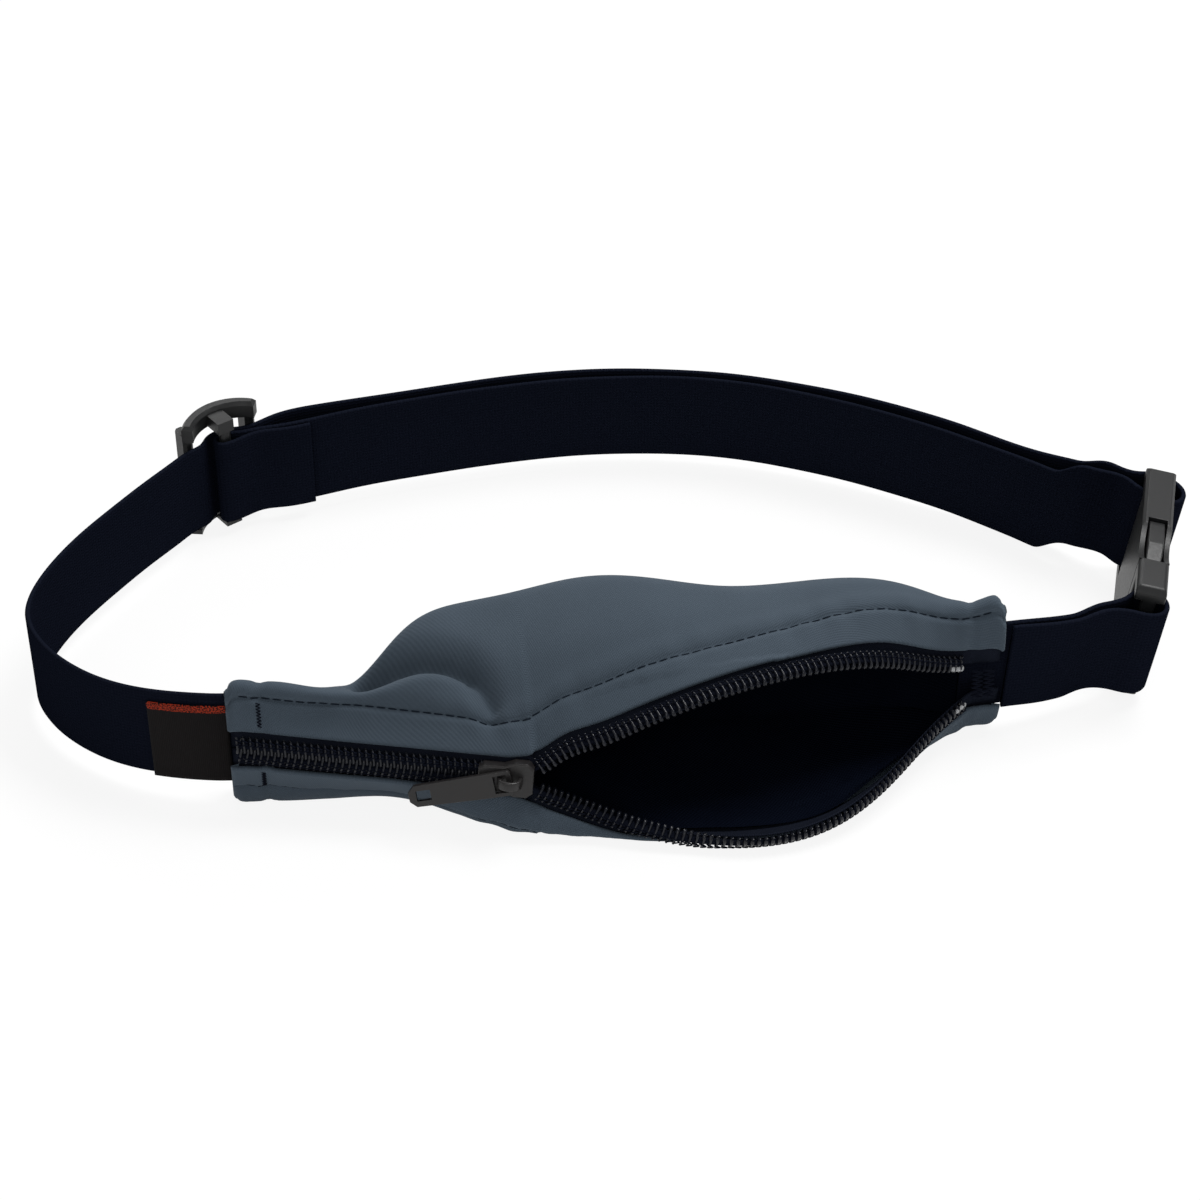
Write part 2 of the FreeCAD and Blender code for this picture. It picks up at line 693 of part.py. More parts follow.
def make_adjuster():
    """A three-bar slide: two outer bars over the webbing and a centre bar inside it."""
    half = adjuster_length / 2
    bar_floor = half_webbing + layer_gap
    foot = half - adjuster_rail * 0.6
    rail = Part.Wire([
        Part.Arc(
            Vector(-half, bar_floor, 0), Vector(0, adjuster_outer + edge_round, 0),
            Vector(half, bar_floor, 0)).toShape(),
        Part.makeLine(Vector(half, bar_floor, 0), Vector(foot, -edge_round, 0)),
        Part.Arc(
            Vector(foot, -edge_round, 0), Vector(0, adjuster_outer + edge_round - adjuster_rail, 0),
            Vector(-foot, -edge_round, 0)).toShape(),
        Part.makeLine(Vector(-foot, -edge_round, 0), Vector(-half, bar_floor, 0))])
    body = Part.Face(rail).extrude(Vector(0, 0, hardware_height))
    body = eased(body, edge_round, lambda edge: abs(edge.BoundBox.ZLength) < 0.01)
    slots = box_between((-half * 2, -half, slot_low), (half * 2, half * 2, slot_high))
    bars = [
        Part.makeBox(adjuster_bar, adjuster_outer - bar_floor, hardware_height, Vector(x, bar_floor, 0))
        for x in (-half + edge_round / 2, half - adjuster_bar - edge_round / 2)]
    bars = [
        eased(bar, edge_round, lambda edge: edge.BoundBox.ZLength > hardware_height / 2) for bar in bars]
    radius = adjuster_centre_bar / 2
    middle = -half_webbing - layer_gap / 2 - tape_gap
    centre = [Part.makeCylinder(radius, hardware_height, Vector(x, middle, 0)) for x in (-0.5, 0.5)]
    centre.append(Part.makeBox(1.0, radius * 2, hardware_height, Vector(-0.5, middle - radius, 0)))
    between = box_between((-half, -half, slot_low - edge_round), (half, half, slot_high + edge_round))
    inner = [solid.common(between) for solid in bars + centre]
    necks = [
        box_between(
            (-adjuster_centre_bar, middle - radius, low), (adjuster_centre_bar, adjuster_outer - edge_round, high))
        for low, high in ((edge_round, slot_low), (slot_high, hardware_height - edge_round))]
    frame = body.cut(slots).fuse(inner + necks).removeSplitter()
    export("adjuster", adjuster_frame.place(frame))


# ---------------------------------------------------------------- buckle
# Drawn along (towards the plug's end), out (away from the wearer) and up.
buckle_half = buckle_length / 2
half_thickness = buckle_thickness / 2
plug_face = buckle_half - plug_base             # where the plug's base meets the socket
socket_mouth = plug_face - running_gap
socket_floor = socket_slot + buckle_bar - buckle_half
window_end = plug_face - window_length
arm_slot_half = half_thickness - socket_plate   # the hollow's half depth
arm_half = arm_thickness / 2
arm_root = plug_face - running_gap
hinge_up = arm_width * 1.4
lip_length = 2.0
barb_length = 2.8
tongue_half = 4.2
bar_half_out = 1.8


def block(low_along, high_along, half_out, low_up, high_up, radius=0.0):
    solid = box_between((low_along, -half_out, low_up), (high_along, half_out, high_up))
    if radius:
        solid = eased(solid, radius, lambda edge: edge.BoundBox.ZLength > radius * 2)
    return solid


def strap_end(low, high, slot_start, slot_end, bar_start, bar_end):
    """A frame with a thinner bar at one end and a slot for the webbing."""
    body = box_between((low, -half_thickness, 0), (high, half_thickness, hardware_height))
    slot = box_between((slot_start, -buckle_thickness, slot_low), (slot_end, buckle_thickness, slot_high))
    reliefs = [
        box_between((bar_start, side, slot_low), (bar_end, side + buckle_thickness, slot_high))
        for side in (bar_half_out, -bar_half_out - buckle_thickness)]
    return body.cut([slot] + reliefs)


def flip_up(shape):
    """The same piece at the buckle's other edge."""
    return shape.mirror(Vector(0, 0, hardware_height / 2), Vector(0, 0, 1))


def make_socket():
    bar_end = buckle_bar - buckle_half
    body = strap_end(-buckle_half, socket_mouth, bar_end, socket_floor, -buckle_half, bar_end)
    body = eased(body, edge_round * 2, lambda edge: (
        edge.BoundBox.YLength > half_thickness and edge.BoundBox.XMax < -buckle_half + 0.01))
    body = eased(body, edge_round, lambda edge: edge.BoundBox.XLength > buckle_half)
    hollow = block(
        socket_floor + socket_side, buckle_half, arm_slot_half, socket_side, hardware_height - socket_side)
    window = box_between(
        (window_end, -arm_slot_half, -1), (buckle_half, arm_slot_half, hinge_up + lip_length))
    scallop = Part.makeCylinder(
        window_length * 0.8, buckle_thickness * 2,
        Vector((window_end + socket_mouth) / 2 + 1.5, buckle_thickness, -window_length * 0.66),
        Vector(0, -1, 0))
    lip = box_between(
        (window_end - lip_length, -arm_slot_half, socket_side),
        (window_end, arm_slot_half, socket_side + catch_depth))
    body = body.cut(hollow)
    body = body.fuse([lip, flip_up(lip)])
    body = body.cut([window, flip_up(window), scallop, flip_up(scallop)]).removeSplitter()
    export("buckle_socket", buckle_frame.tipped(buckle_frame.place(body)))


def make_plug():
    bar_start = buckle_half - buckle_bar
    slot_start = bar_start - plug_slot
    base = strap_end(plug_face, buckle_half, slot_start, bar_start, bar_start, buckle_half)
    base = eased(base, edge_round * 2, lambda edge: (
        edge.BoundBox.YLength > half_thickness and edge.BoundBox.XMin > buckle_half - 0.01))
    base = eased(base, edge_round, lambda edge: edge.BoundBox.XLength > plug_base / 2)
    middle = hardware_height / 2
    tongue_half_out = arm_slot_half - running_gap
    reach = window_end - barb_length * 2
    tongue = box_between(
        (reach, -tongue_half_out, middle - tongue_half), (plug_face, tongue_half_out, middle + tongue_half))
    tongue = eased(tongue, edge_round, lambda edge: edge.BoundBox.XMax < reach + 0.01)
    groove = box_between(
        (reach + tongue_half, -buckle_thickness, middle - tongue_half / 2),
        (plug_face - edge_round, -tongue_half_out / 2, middle + tongue_half / 2))
    body = base.fuse(tongue.cut([groove])).removeSplitter()
    export("buckle_plug", buckle_frame.tipped(buckle_frame.place(body)))


def make_arms():
    """The two sprung arms: a pad in the window and a prong with a barb behind the lip."""
    lip_top = socket_side + catch_depth + running_gap
    barb_start = window_end - lip_length - running_gap
    inner = hinge_up + arm_width / 2
    arm = prism([
        (arm_root, hinge_up - arm_width / 2), (arm_root, inner),
        (barb_start - barb_length, lip_top + arm_width * 0.8),
        (barb_start - barb_length, lip_top + arm_width * 0.2),
        (barb_start - edge_round, socket_side + running_gap), (barb_start, socket_side + running_gap),
        (barb_start, lip_top), (window_end + running_gap, lip_top),
        (window_end + running_gap, running_gap * 3), (window_end + edge_round * 3, running_gap),
        (arm_root - window_length * 0.4, running_gap), (arm_root - window_length * 0.15, hinge_up / 2)],
        -arm_half, arm_half)
    arm.rotate(Vector(0, 0, 0), Vector(1, 0, 0), 90)
    export("plug_arm_lower", buckle_frame.tipped(buckle_frame.place(arm)))
    export("plug_arm_upper", buckle_frame.tipped(buckle_frame.place(flip_up(arm))))


make_webbing()
make_label()
make_pocket()
make_tape("zipper_tape_upper", True)
make_tape("zipper_tape_lower", False)
make_teeth("zipper_teeth_upper", upper_curve, True)
make_teeth("zipper_teeth_lower", lower_curve, False)
make_stops()
make_slider()
make_pull()
make_adjuster()
make_socket()
make_plug()
make_arms()
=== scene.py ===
"""Looks of the stretch money belt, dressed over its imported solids. Lengths in millimetres
until a mesh is made, when they become metres."""
import math

import bmesh
import bpy
import numpy as np
from mathutils import Matrix, Vector


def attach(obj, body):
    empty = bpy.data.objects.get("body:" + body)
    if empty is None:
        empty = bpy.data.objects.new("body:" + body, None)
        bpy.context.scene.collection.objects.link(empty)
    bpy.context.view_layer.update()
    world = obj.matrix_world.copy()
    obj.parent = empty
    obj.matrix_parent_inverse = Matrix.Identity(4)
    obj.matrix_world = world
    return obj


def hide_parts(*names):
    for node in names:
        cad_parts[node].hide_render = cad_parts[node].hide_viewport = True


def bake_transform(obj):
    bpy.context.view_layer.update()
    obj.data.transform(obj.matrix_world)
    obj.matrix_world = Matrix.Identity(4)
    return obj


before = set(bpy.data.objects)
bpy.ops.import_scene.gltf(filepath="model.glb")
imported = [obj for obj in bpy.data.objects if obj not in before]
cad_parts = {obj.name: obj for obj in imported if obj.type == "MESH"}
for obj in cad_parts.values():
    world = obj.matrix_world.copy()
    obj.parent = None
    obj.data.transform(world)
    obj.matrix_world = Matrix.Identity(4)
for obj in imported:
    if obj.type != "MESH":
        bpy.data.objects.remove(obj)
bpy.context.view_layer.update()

# ---------- sizes, as in the solids
webbing_width, webbing_thickness = 25.4, 1.3
webbing_low, webbing_middle = 4.3, 17.0
half_length, pocket_depth, pocket_height = 92.25, 60.0, 43.5
fabric_wall, fabric_edge = 1.2, 5.4
zipper_tilt, tooth_pitch = 16.0, 1.6
slider_length = 13.0
slider_front = 0.42 * slider_length
hidden_teeth = slider_front + 1.5 * tooth_pitch     # the first of each open row, inside the slider
base_skim = 0.5                     # how far the base's poles sit below the floor, to press it flat
buckle_tip, buckle_lift = 7.5, 0.4
tip_near, tip_far = 34.0, 66.0      # from the buckle's middle: full lean, and none
end_lift = 2.0                      # the webbing's rise where it enters each end of the pocket

# ---------- sizes of the looks alone
stitch_in = 7.8                     # from the cloth's folded edge to its topstitching
corner_round = 4.0                  # the pocket's upper corners
sag = 2.2                           # the webbing's dip beside the buckle
skin_places, skin_columns = 190, 190    # how finely the cloth is drawn, along and round
end_places, end_stretch = 12, 6.0       # and within this far of each end
section_points = 400                # along the cloth's line in one upright plane
line_points = 1500                  # along a curve, before it is divided evenly
lip_points = 2000                   # along each lip of the open mouth
fold_steps = 4                      # round a folded edge of the cloth
coil_depth = -0.45                  # the coil's middle, below the cloth's surface
tape_from, tape_to = 0.35, 8.4      # the tape's edges, in from the lip
tape_below, tape_thickness = 1.45, 0.5
lining_from, lining_to = -78, 89    # the lining's stretch along the pocket
full_turn = 6.2832                  # one wave of a weave


# ---------- curves
def unit(vector):
    vector = np.asarray(vector, float)
    return vector / np.linalg.norm(vector)


def headings(points):
    """The unit direction at each point of a line."""
    ahead = np.gradient(points, axis=0)
    return ahead / np.linalg.norm(ahead, axis=1)[:, None]


def run_of(points):
    """The distance along a line to each of its points."""
    return np.concatenate([[0], np.cumsum(np.linalg.norm(np.diff(points, axis=0), axis=1))])


def read_off(distance, run, table):
    """The table's row or rows at a distance along a run."""
    return np.stack([np.interp(distance, run, column) for column in table.T], -1)


def smooth_share(value):
    """0 to 1, with a soft start and end."""
    value = min(max(value, 0.0), 1.0)
    return value * value * (3 - 2 * value)


def ramp(distance, length):
    """0 to 1 over a length."""
    return np.clip(distance / length, 0, 1)


def swell(distance, width):
    """1 at no distance, falling away over a width on both sides."""
    return np.exp(-(distance / width) ** 2)


class Spline:
    """A smooth curve through points, as an interpolating cubic."""

    def __init__(self, points, parameters=None):
        points = np.asarray(points, float)
        self.places = np.asarray(run_of(points) if parameters is None else parameters, float)
        self.points = points
        count = len(points)
        gaps = np.diff(self.places)
        matrix = np.zeros((count, count))
        right = np.zeros_like(points)
        matrix[0, 0] = matrix[-1, -1] = 1
        for i in range(1, count - 1):
            matrix[i, i - 1], matrix[i, i + 1] = gaps[i - 1], gaps[i]
            matrix[i, i] = 2 * (gaps[i - 1] + gaps[i])
            slope_on = (points[i + 1] - points[i]) / gaps[i]
            slope_back = (points[i] - points[i - 1]) / gaps[i - 1]
            right[i] = 6 * (slope_on - slope_back)
        self.bends = np.linalg.solve(matrix, right)

    def at(self, values):
        values = np.atleast_1d(np.asarray(values, float))
        i = np.clip(np.searchsorted(self.places, values) - 1, 0, len(self.places) - 2)
        gap = (self.places[i + 1] - self.places[i])[:, None]
        a = (self.places[i + 1] - values)[:, None] / gap
        b = 1 - a
        return (a * self.points[i] + b * self.points[i + 1]
                + ((a**3 - a) * self.bends[i] + (b**3 - b) * self.bends[i + 1]) * gap**2 / 6)

    def even(self, step, start=None, end=None):
        """Points an even distance apart, and their distances."""
        start = self.places[0] if start is None else start
        end = self.places[-1] if end is None else end
        fine = self.at(np.linspace(start, end, line_points))
        run = run_of(fine)
        marks = np.linspace(0, run[-1], max(2, int(round(run[-1] / step)) + 1))
        return read_off(marks, run, fine), marks


def clamped(poles, count):
    """Points along the cubic B-spline that a row of poles shapes."""
    poles = np.asarray(poles, float)
    size = len(poles)
    knots = np.concatenate([np.zeros(3), np.arange(size - 2), np.full(3, size - 3)]).astype(float)
    values = np.linspace(0, size - 3, count)
    values[-1] -= 1e-9
    basis = ((values[:, None] >= knots[None, :-1]) & (values[:, None] < knots[None, 1:])).astype(float)
    for degree in range(1, 4):
        fresh = np.zeros((count, basis.shape[1] - 1))
        for i in range(basis.shape[1] - 1):
            left, right = knots[i + degree] - knots[i], knots[i + degree + 1] - knots[i + 1]
            if left > 0:
                fresh[:, i] += (values - knots[i]) / left * basis[:, i]
            if right > 0:
                fresh[:, i] += (knots[i + degree + 1] - values) / right * basis[:, i + 1]
        basis = fresh
    return basis @ poles


def ripple(x, y, z=0.0, seed=0):
    """A smooth wandering value between about -1 and 1."""
    draws = np.random.RandomState(seed)
    total = 0
    for _ in range(6):
        turn = draws.uniform(-1, 1, 3)
        total = total + np.sin(x * turn[0] + y * turn[1] + z * turn[2] + draws.uniform(0, 6.28))
    return total / 3.2


# ---------- meshes
def mesh_object(name, points, faces, material, flow=None):
    """A mesh in metres from points in millimetres. `flow` gives each point's (along, across)."""
    mesh = bpy.data.meshes.new(name)
    mesh.from_pydata([tuple(p) for p in np.asarray(points, float) * 0.001], [], faces)
    if flow is not None:
        layer = mesh.uv_layers.new(name="flow")
        flow = np.asarray(flow, float)
        loops = np.zeros(len(mesh.loops), dtype=np.int64)
        mesh.loops.foreach_get("vertex_index", loops)
        layer.data.foreach_set("uv", flow[loops].ravel())
    mesh.polygons.foreach_set("use_smooth", [True] * len(mesh.polygons))
    mesh.materials.append(material)
    mesh.update()
    return shown(name, mesh)


def shown(name, mesh):
    """An object for a mesh, in the scene."""
    made = bpy.data.objects.new(name, mesh)
    bpy.context.scene.collection.objects.link(made)
    return made


def grid_faces(rows, columns, wrap=False, flip=False):
    faces = []
    for i in range(rows - 1):
        for j in range(columns - (0 if wrap else 1)):
            k = (j + 1) % columns
            face = (i * columns + j, (i + 1) * columns + j, (i + 1) * columns + k, i * columns + k)
            faces.append(face[::-1] if flip else face)
    return faces


def end_faces(rows, columns, flip=False):
    """The two faces that close a tube of rows."""
    first = tuple(range(columns))
    last = tuple(range((rows - 1) * columns, rows * columns))
    return [first[::-1], last] if flip else [first, last[::-1]]


def seat(made, body, node=None):
    """Says which body a piece rides on, and hides the solid that it stands for."""
    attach(made, body)
    if node:
        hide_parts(node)


# ---------- materials
class Amount:
    """A varying number in a material, worked out with Python's own arithmetic."""

    def __init__(self, look, socket):
        self.look, self.socket = look, socket

    def _math(self, operation, *others, first=None):
        node = self.look.tree.nodes.new("ShaderNodeMath")
        node.operation = operation
        for slot, value in zip(node.inputs, [self if first is None else first, *others]):
            self.look.feed(slot, value)
        return Amount(self.look, node.outputs[0])

    def __add__(self, other):
        return self._math("ADD", other)

    def __mul__(self, other):
        return self._math("MULTIPLY", other)

    def __sub__(self, other):
        return self._math("SUBTRACT", other)

    def __rsub__(self, other):
        return self._math("SUBTRACT", self, first=other)

    def __gt__(self, other):
        return self._math("GREATER_THAN", other)

    __radd__, __rmul__ = __add__, __mul__

    def absolute(self):
        return self._math("ABSOLUTE")

    def sine(self):
        return self._math("SINE")

    def waves(self, pitch):
        """-1 to 1 and back over each pitch."""
        return (self * (full_turn / pitch)).sine()

    def kept(self):
        """Kept between 0 and 1."""
        return self._math("MAXIMUM", 0.0)._math("MINIMUM", 1.0)


class Look:
    """A Principled material. Fixed values are given by their socket's name."""

    def __init__(self, name, colour, roughness, **fixed):
        self.material = bpy.data.materials.new(name)
        self.material.use_nodes = True
        self.tree = self.material.node_tree
        self.shader = self.tree.nodes["Principled BSDF"]
        self.shader.inputs["Base Color"].default_value = (*colour, 1)
        self.shader.inputs["Roughness"].default_value = roughness
        self.material.diffuse_color = (*colour, 1)
        for key, value in fixed.items():
            self.shader.inputs[key.replace("_", " ")].default_value = value

    def feed(self, slot, value):
        if isinstance(value, Amount):
            value = value.socket
        if isinstance(value, bpy.types.NodeSocket):
            self.tree.links.new(value, slot)
        else:
            slot.default_value = value

    def node(self, kind, given=None, **settings):
        node = self.tree.nodes.new(kind)
        for key, value in settings.items():
            setattr(node, key, value)
        for key, value in (given or {}).items():
            self.feed(node.inputs[key], value)
        return node

    def flow(self):
        """Distance along and across the cloth, in millimetres."""
        split = self.node("ShaderNodeSeparateXYZ", {
            "Vector": self.node("ShaderNodeUVMap", uv_map="flow").outputs["UV"]})
        return Amount(self, split.outputs["X"]), Amount(self, split.outputs["Y"])

    def noise(self, scale, detail, vector=None):
        if vector is None:
            vector = self.node("ShaderNodeTexCoord").outputs["Object"]
        made = self.node("ShaderNodeTexNoise", {"Vector": vector, "Scale": scale, "Detail": detail})
        return Amount(self, made.outputs["Fac"])

    def flow_noise(self, x, y, detail):
        """Noise on the cloth's own distances, each already scaled."""
        return self.noise(1.0, detail, self.node("ShaderNodeCombineXYZ", {"X": x, "Y": y}).outputs[0])

    def mixed(self, factor, low, high):
        made = self.node("ShaderNodeMix", data_type="RGBA")
        self.feed(made.inputs["Factor"], factor)
        for slot, value in zip([s for s in made.inputs if s.type == "RGBA"], (low, high)):
            self.feed(slot, (*value, 1) if isinstance(value, tuple) else value)
        return [s for s in made.outputs if s.type == "RGBA"][0]

    def paint(self, factor, low, high):
        self.feed(self.shader.inputs["Base Color"], self.mixed(factor, low, high))

    def rough(self, amount):
        self.feed(self.shader.inputs["Roughness"], amount)

    def bump(self, height, distance):
        """Relief: `height` from 0 to 1 over `distance` in metres."""
        made = self.node("ShaderNodeBump", {"Height": height, "Distance": distance})
        self.feed(self.shader.inputs["Normal"], made.outputs["Normal"])


def knit_cloth():
    look = Look(
        "pocket_cloth", (0.046, 0.062, 0.080), 0.9,
        Sheen_Weight=0.12, Sheen_Roughness=0.5, Specular_IOR_Level=0.18)
    look.shader.inputs["Sheen Tint"].default_value = (0.55, 0.66, 0.78, 1)
    along, across = look.flow()
    ribs = (along * 0.8 + across).waves(0.62)
    rows = (across * 0.35 - along).waves(0.5)
    weave = (ribs * 0.6 + rows * 0.4) * 0.5 + 0.5
    cloudy = look.noise(55.0, 3.0)
    look.paint((weave * 0.35 + cloudy * 0.65).kept(), (0.034, 0.047, 0.062), (0.055, 0.074, 0.096))
    look.bump(weave * 0.7 + cloudy * 0.3, 0.00012)
    return look.material


def elastic_webbing():
    look = Look("webbing", (0.005, 0.0065, 0.011), 0.95, Specular_IOR_Level=0.0)
    along, across = look.flow()
    picks = along.waves(0.85)
    ribs = (across * (full_turn / 0.9) + along.waves(1.7) * 0.9).sine()
    grain = look.flow_noise(along * 1.6, across * 1.1, 4.0)
    speckle = look.flow_noise(along * 4.2, across * 3.0, 2.0)
    weave = (picks * 0.4 + ribs * 0.6) * 0.5 + 0.5
    edge = ((across - webbing_width / 2).absolute() - (webbing_width / 2 - 0.5)).kept()
    look.paint(
        (weave * 0.3 + grain * 0.4 + speckle * 0.3 + edge * 0.5).kept(),
        (0.0020, 0.0028, 0.0065), (0.0078, 0.0095, 0.0165))
    look.bump(weave * 0.6 + speckle * 0.4, 0.00025)
    return look.material


def plain_weave(name, low, high, pitch, depth):
    look = Look(name, high, 0.95, Specular_IOR_Level=0.0)
    along, across = look.flow()
    weave = along.waves(pitch) * across.waves(pitch) * 0.5 + 0.5
    cloudy = look.noise(160.0, 2.0)
    look.paint((weave * 0.5 + cloudy * 0.5).kept(), low, high)
    look.bump(weave, depth)
    return look.material


def grained(name, low, high, rough, scale, specular):
    """Moulded plastic or enamel with a fine grain."""
    look = Look(name, high, rough, Specular_IOR_Level=specular)
    grain = look.noise(scale, 3.0)
    look.paint(grain.kept(), low, high)
    look.rough((grain - 0.5) * 0.2 + rough)
    look.bump(grain, 0.00002)
    return look.material


def label_weave():
    """Black satin with a broken red stripe along its top."""
    look = Look("label", (0.006, 0.005, 0.005), 0.85, Sheen_Weight=0.01, Specular_IOR_Level=0.1)
    along, across = look.flow()
    weave = along.waves(0.45) * 0.5 + across.waves(0.3) * 0.5
    stripe = (across > 21.0) * (look.flow_noise(along * 2.5, across * 3.5, 2.0) > 0.5)
    black = look.mixed((weave * 0.5 + 0.5).kept(), (0.0025, 0.0022, 0.0024), (0.0085, 0.0065, 0.0065))
    look.paint(stripe, black, (0.30, 0.028, 0.010))
    look.bump(weave * 0.5 + 0.5, 0.00008)
    return look.material


def thread(name, colour):
    return Look(name, colour, 0.9, Specular_IOR_Level=0.04).material


cloth = knit_cloth()
webbing = elastic_webbing()
tape_cloth = plain_weave("zip_tape", (0.005, 0.006, 0.011), (0.014, 0.017, 0.026), 0.55, 0.00012)
lining_cloth = plain_weave("lining", (0.0016, 0.0022, 0.0055), (0.0045, 0.0065, 0.013), 1.0, 0.0003)
coil_plastic = Look("zip_teeth", (0.0045, 0.0055, 0.0095), 0.32, Specular_IOR_Level=0.3).material
thread_dark = thread("thread_navy", (0.0035, 0.0045, 0.009))
thread_slate = thread("thread_slate", (0.008, 0.012, 0.019))
enamel = grained("zip_metal", (0.010, 0.009, 0.0095), (0.015, 0.0135, 0.0135), 0.36, 900.0, 0.4)
plastic = grained("hardware", (0.006, 0.0065, 0.007), (0.0095, 0.0098, 0.0103), 0.45, 1400.0, 0.32)
clear_stop = Look("zip_stop", (0.42, 0.43, 0.44), 0.25, Alpha=0.75).material
label_cloth = label_weave()


# ---------- webbing
def local_frame(centre, angle):
    """Gives plan points from (along, out) in a piece of hardware's own directions."""
    turn = math.radians(angle)
    along = np.array([math.cos(turn), math.sin(turn)])
    out = np.array([-along[1], along[0]])
    return lambda a, o: tuple(np.array(centre) + along * a + out * o)


buckle_middle = np.array([137.3, 29.0, webbing_middle])
buckle_turn = 250.7
buckle_along = Vector((math.cos(math.radians(buckle_turn)), math.sin(math.radians(buckle_turn)), 0))
adjuster_at = local_frame((-88.5, 108.0), 30.0)
buckle_at = local_frame(buckle_middle[:2], buckle_turn)
left_run = [
    (-83.25, 0), (-92.25, 0), (-101, 1.6), (-115, 7.8), (-128, 18.2), (-135.7, 29.5),
    (-138.6, 40), (-136, 52), (-128.8, 65.6), (-119.7, 77.6), (-110.6, 88.4)]
adjuster_pass = [adjuster_at(*p) for p in (
    (-16, -1.9), (-10, -0.3), (-6.2, 0.35), (-3.5, 2.2), (0, 3.0), (3.5, 2.2), (6.2, 0.7),
    (10, 0), (16, 0.1))]
back_outer = [
    (-62, 119.3), (-46, 121.3), (-30, 123.3), (-14, 125), (3, 125.6), (19, 124.4), (35, 121.4),
    (50, 117), (65, 110.5), (80, 102.5), (94, 93.5), (108, 84), (121, 73.5), (133, 63.5)]
socket_loop = [buckle_at(*p) for p in (
    (-28.1, -6.0), (-29.3, -0.8), (-27.4, 4.3), (-22.6, 6.7), (-18.9, 4.6), (-20.2, 0),
    (-21.8, -4.6), (-24.6, -8.2))]
back_inner = [
    (130, 58.6), (118, 69.3), (104, 80.8), (88, 92.2), (73, 102), (58, 110), (43, 116), (25, 120),
    (8, 121.6), (-14, 121), (-36, 118.6), (-54, 115.6), (-66, 112.8)]
end_loop = [(-73.5, 111.4)] + [adjuster_at(*p) for p in (
    (8, -1.75), (5.2, -0.75), (2.8, 0.55), (0.8, 1.1), (-0.5, 1.1), (-1.95, 0.5), (-2.55, -0.95),
    (-1.95, -2.4), (-0.5, -3.0), (3.5, -3.2), (8, -3.45))] + [(-73.2, 109.6), (-65.5, 110.9)]
elastic = Spline(left_run + adjuster_pass + back_outer + socket_loop + back_inner + end_loop)
right_run = Spline(
    [(83.25, 0), (92.25, 0), (101, 0.6), (110, 2.4), (118, 4.9)]
    + [buckle_at(*p) for p in (
        (24.3, -4.9), (21.4, -3.0), (20.3, 0), (21.7, 3.4), (24.9, 4.7), (28.3, 3.4), (29.7, 0.6))]
    + [(124, 2.1), (117.5, 2.5), (110.6, 0.6), (103, -1.2), (94.6, -1.75)])


def settled(points, place):
    """The webbing's points at one place, leaning with the buckle and risen to the pocket."""
    rise = 0.0
    if place[1] < 40:       # the front, on both sides of the pocket
        left = smooth_share((place[0] + half_length + 35) / 30)
        right = smooth_share((half_length + 27 - place[0]) / 24)
        rise = end_lift * min(left, right)
    away = math.dist(place[:2], buckle_middle[:2])
    share = smooth_share((tip_far - away) / (tip_far - tip_near))
    turn = np.array(Matrix.Rotation(math.radians(-buckle_tip * share), 3, buckle_along))
    middle = np.array([place[0], place[1], webbing_middle])
    near = smooth_share((39 - away) / 8)
    shift = ((middle - buckle_middle) @ turn.T + buckle_middle - middle) * near
    if place[1] > 55:       # the back, as it comes to the buckle
        rise -= sag * math.exp(-((place[0] - 119) / 17) ** 2) * smooth_share((away - 31) / 9)
    return (np.asarray(points) - middle) @ turn.T + middle + shift + (0, 0, rise + buckle_lift * share)


def band_profile(width, thickness, across_points=22):
    """Points (across, off) round a band's rounded edge, counter-clockwise from above."""
    half, points = thickness / 2, []
    for side, start, end in ((1, half, width - half), (-1, width - half, half)):
        for k in range(across_points):
            points.append((start + (end - start) * k / (across_points - 1), side * half))
        for k in range(1, 4):
            turn = math.pi * k / 4
            points.append((end + side * half * math.sin(turn), side * half * math.cos(turn)))
    return points


def band_mesh(name, line, marks, material, low, width, thickness, closed_ends=(False, False)):
    """A band of webbing that stands on its edge along a plan line, very slightly wavy."""
    profile = band_profile(width, thickness)
    points, flow = [], []
    for spot, ahead, mark in zip(line, headings(line), marks):
        ring = []
        for across, off in profile:
            away = off + 0.07 * ripple(mark * 0.25, across * 0.2, seed=3)
            ring.append((spot[0] - ahead[1] * away, spot[1] + ahead[0] * away, low + across))
            flow.append((mark, across))
        points.extend(settled(ring, spot))
    faces = grid_faces(len(line), len(profile), wrap=True)
    faces += [face for face, closed in zip(end_faces(len(line), len(profile)), closed_ends) if closed]
    return mesh_object(name, points, faces, material, flow)


def elastic_band(name, first, last, step=1.0, ends=(False, False), curve=elastic):
    """A stretch of webbing between two of its curve's points, and its plan line."""
    start, end = curve.places[first], curve.places[last]
    line, marks = curve.even(step, start, end)
    made = band_mesh(name, line, marks + start, webbing, webbing_low, webbing_width, webbing_thickness, ends)
    return made, line


def riding(name, first, last, body, node, step=1.0, ends=(False, False), curve=elastic):
    """A stretch of webbing that moves with one body."""
    made = elastic_band(name, first, last, step, ends, curve)[0]
    seat(made, body, node)


def giving(name, first, last, node=None):
    """A stretch of webbing between the parts that ride on two bodies, baked into place and following
    neither.
    """
    made, line = elastic_band(name, first, last, 0.8)
    start, end = [(x * 0.001, y * 0.001, webbing_middle * 0.001) for x, y in (line[2], line[-3])]
    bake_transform(made)
    if node:
        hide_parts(node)


# where each stretch starts and ends, counted in the elastic's own points
pass_start = len(left_run) - 1
pass_end = pass_start + len(adjuster_pass) + 1
loop_start = pass_end + len(back_outer) - 2
bend_outer_start = loop_start - 3
loop_end = loop_start + len(socket_loop) + 3
bend_inner_end = loop_end + 2
inner_end = pass_end + len(back_outer) + len(socket_loop) + len(back_inner) - 1
slack_start = inner_end - 2
webbing_end = inner_end + len(end_loop)

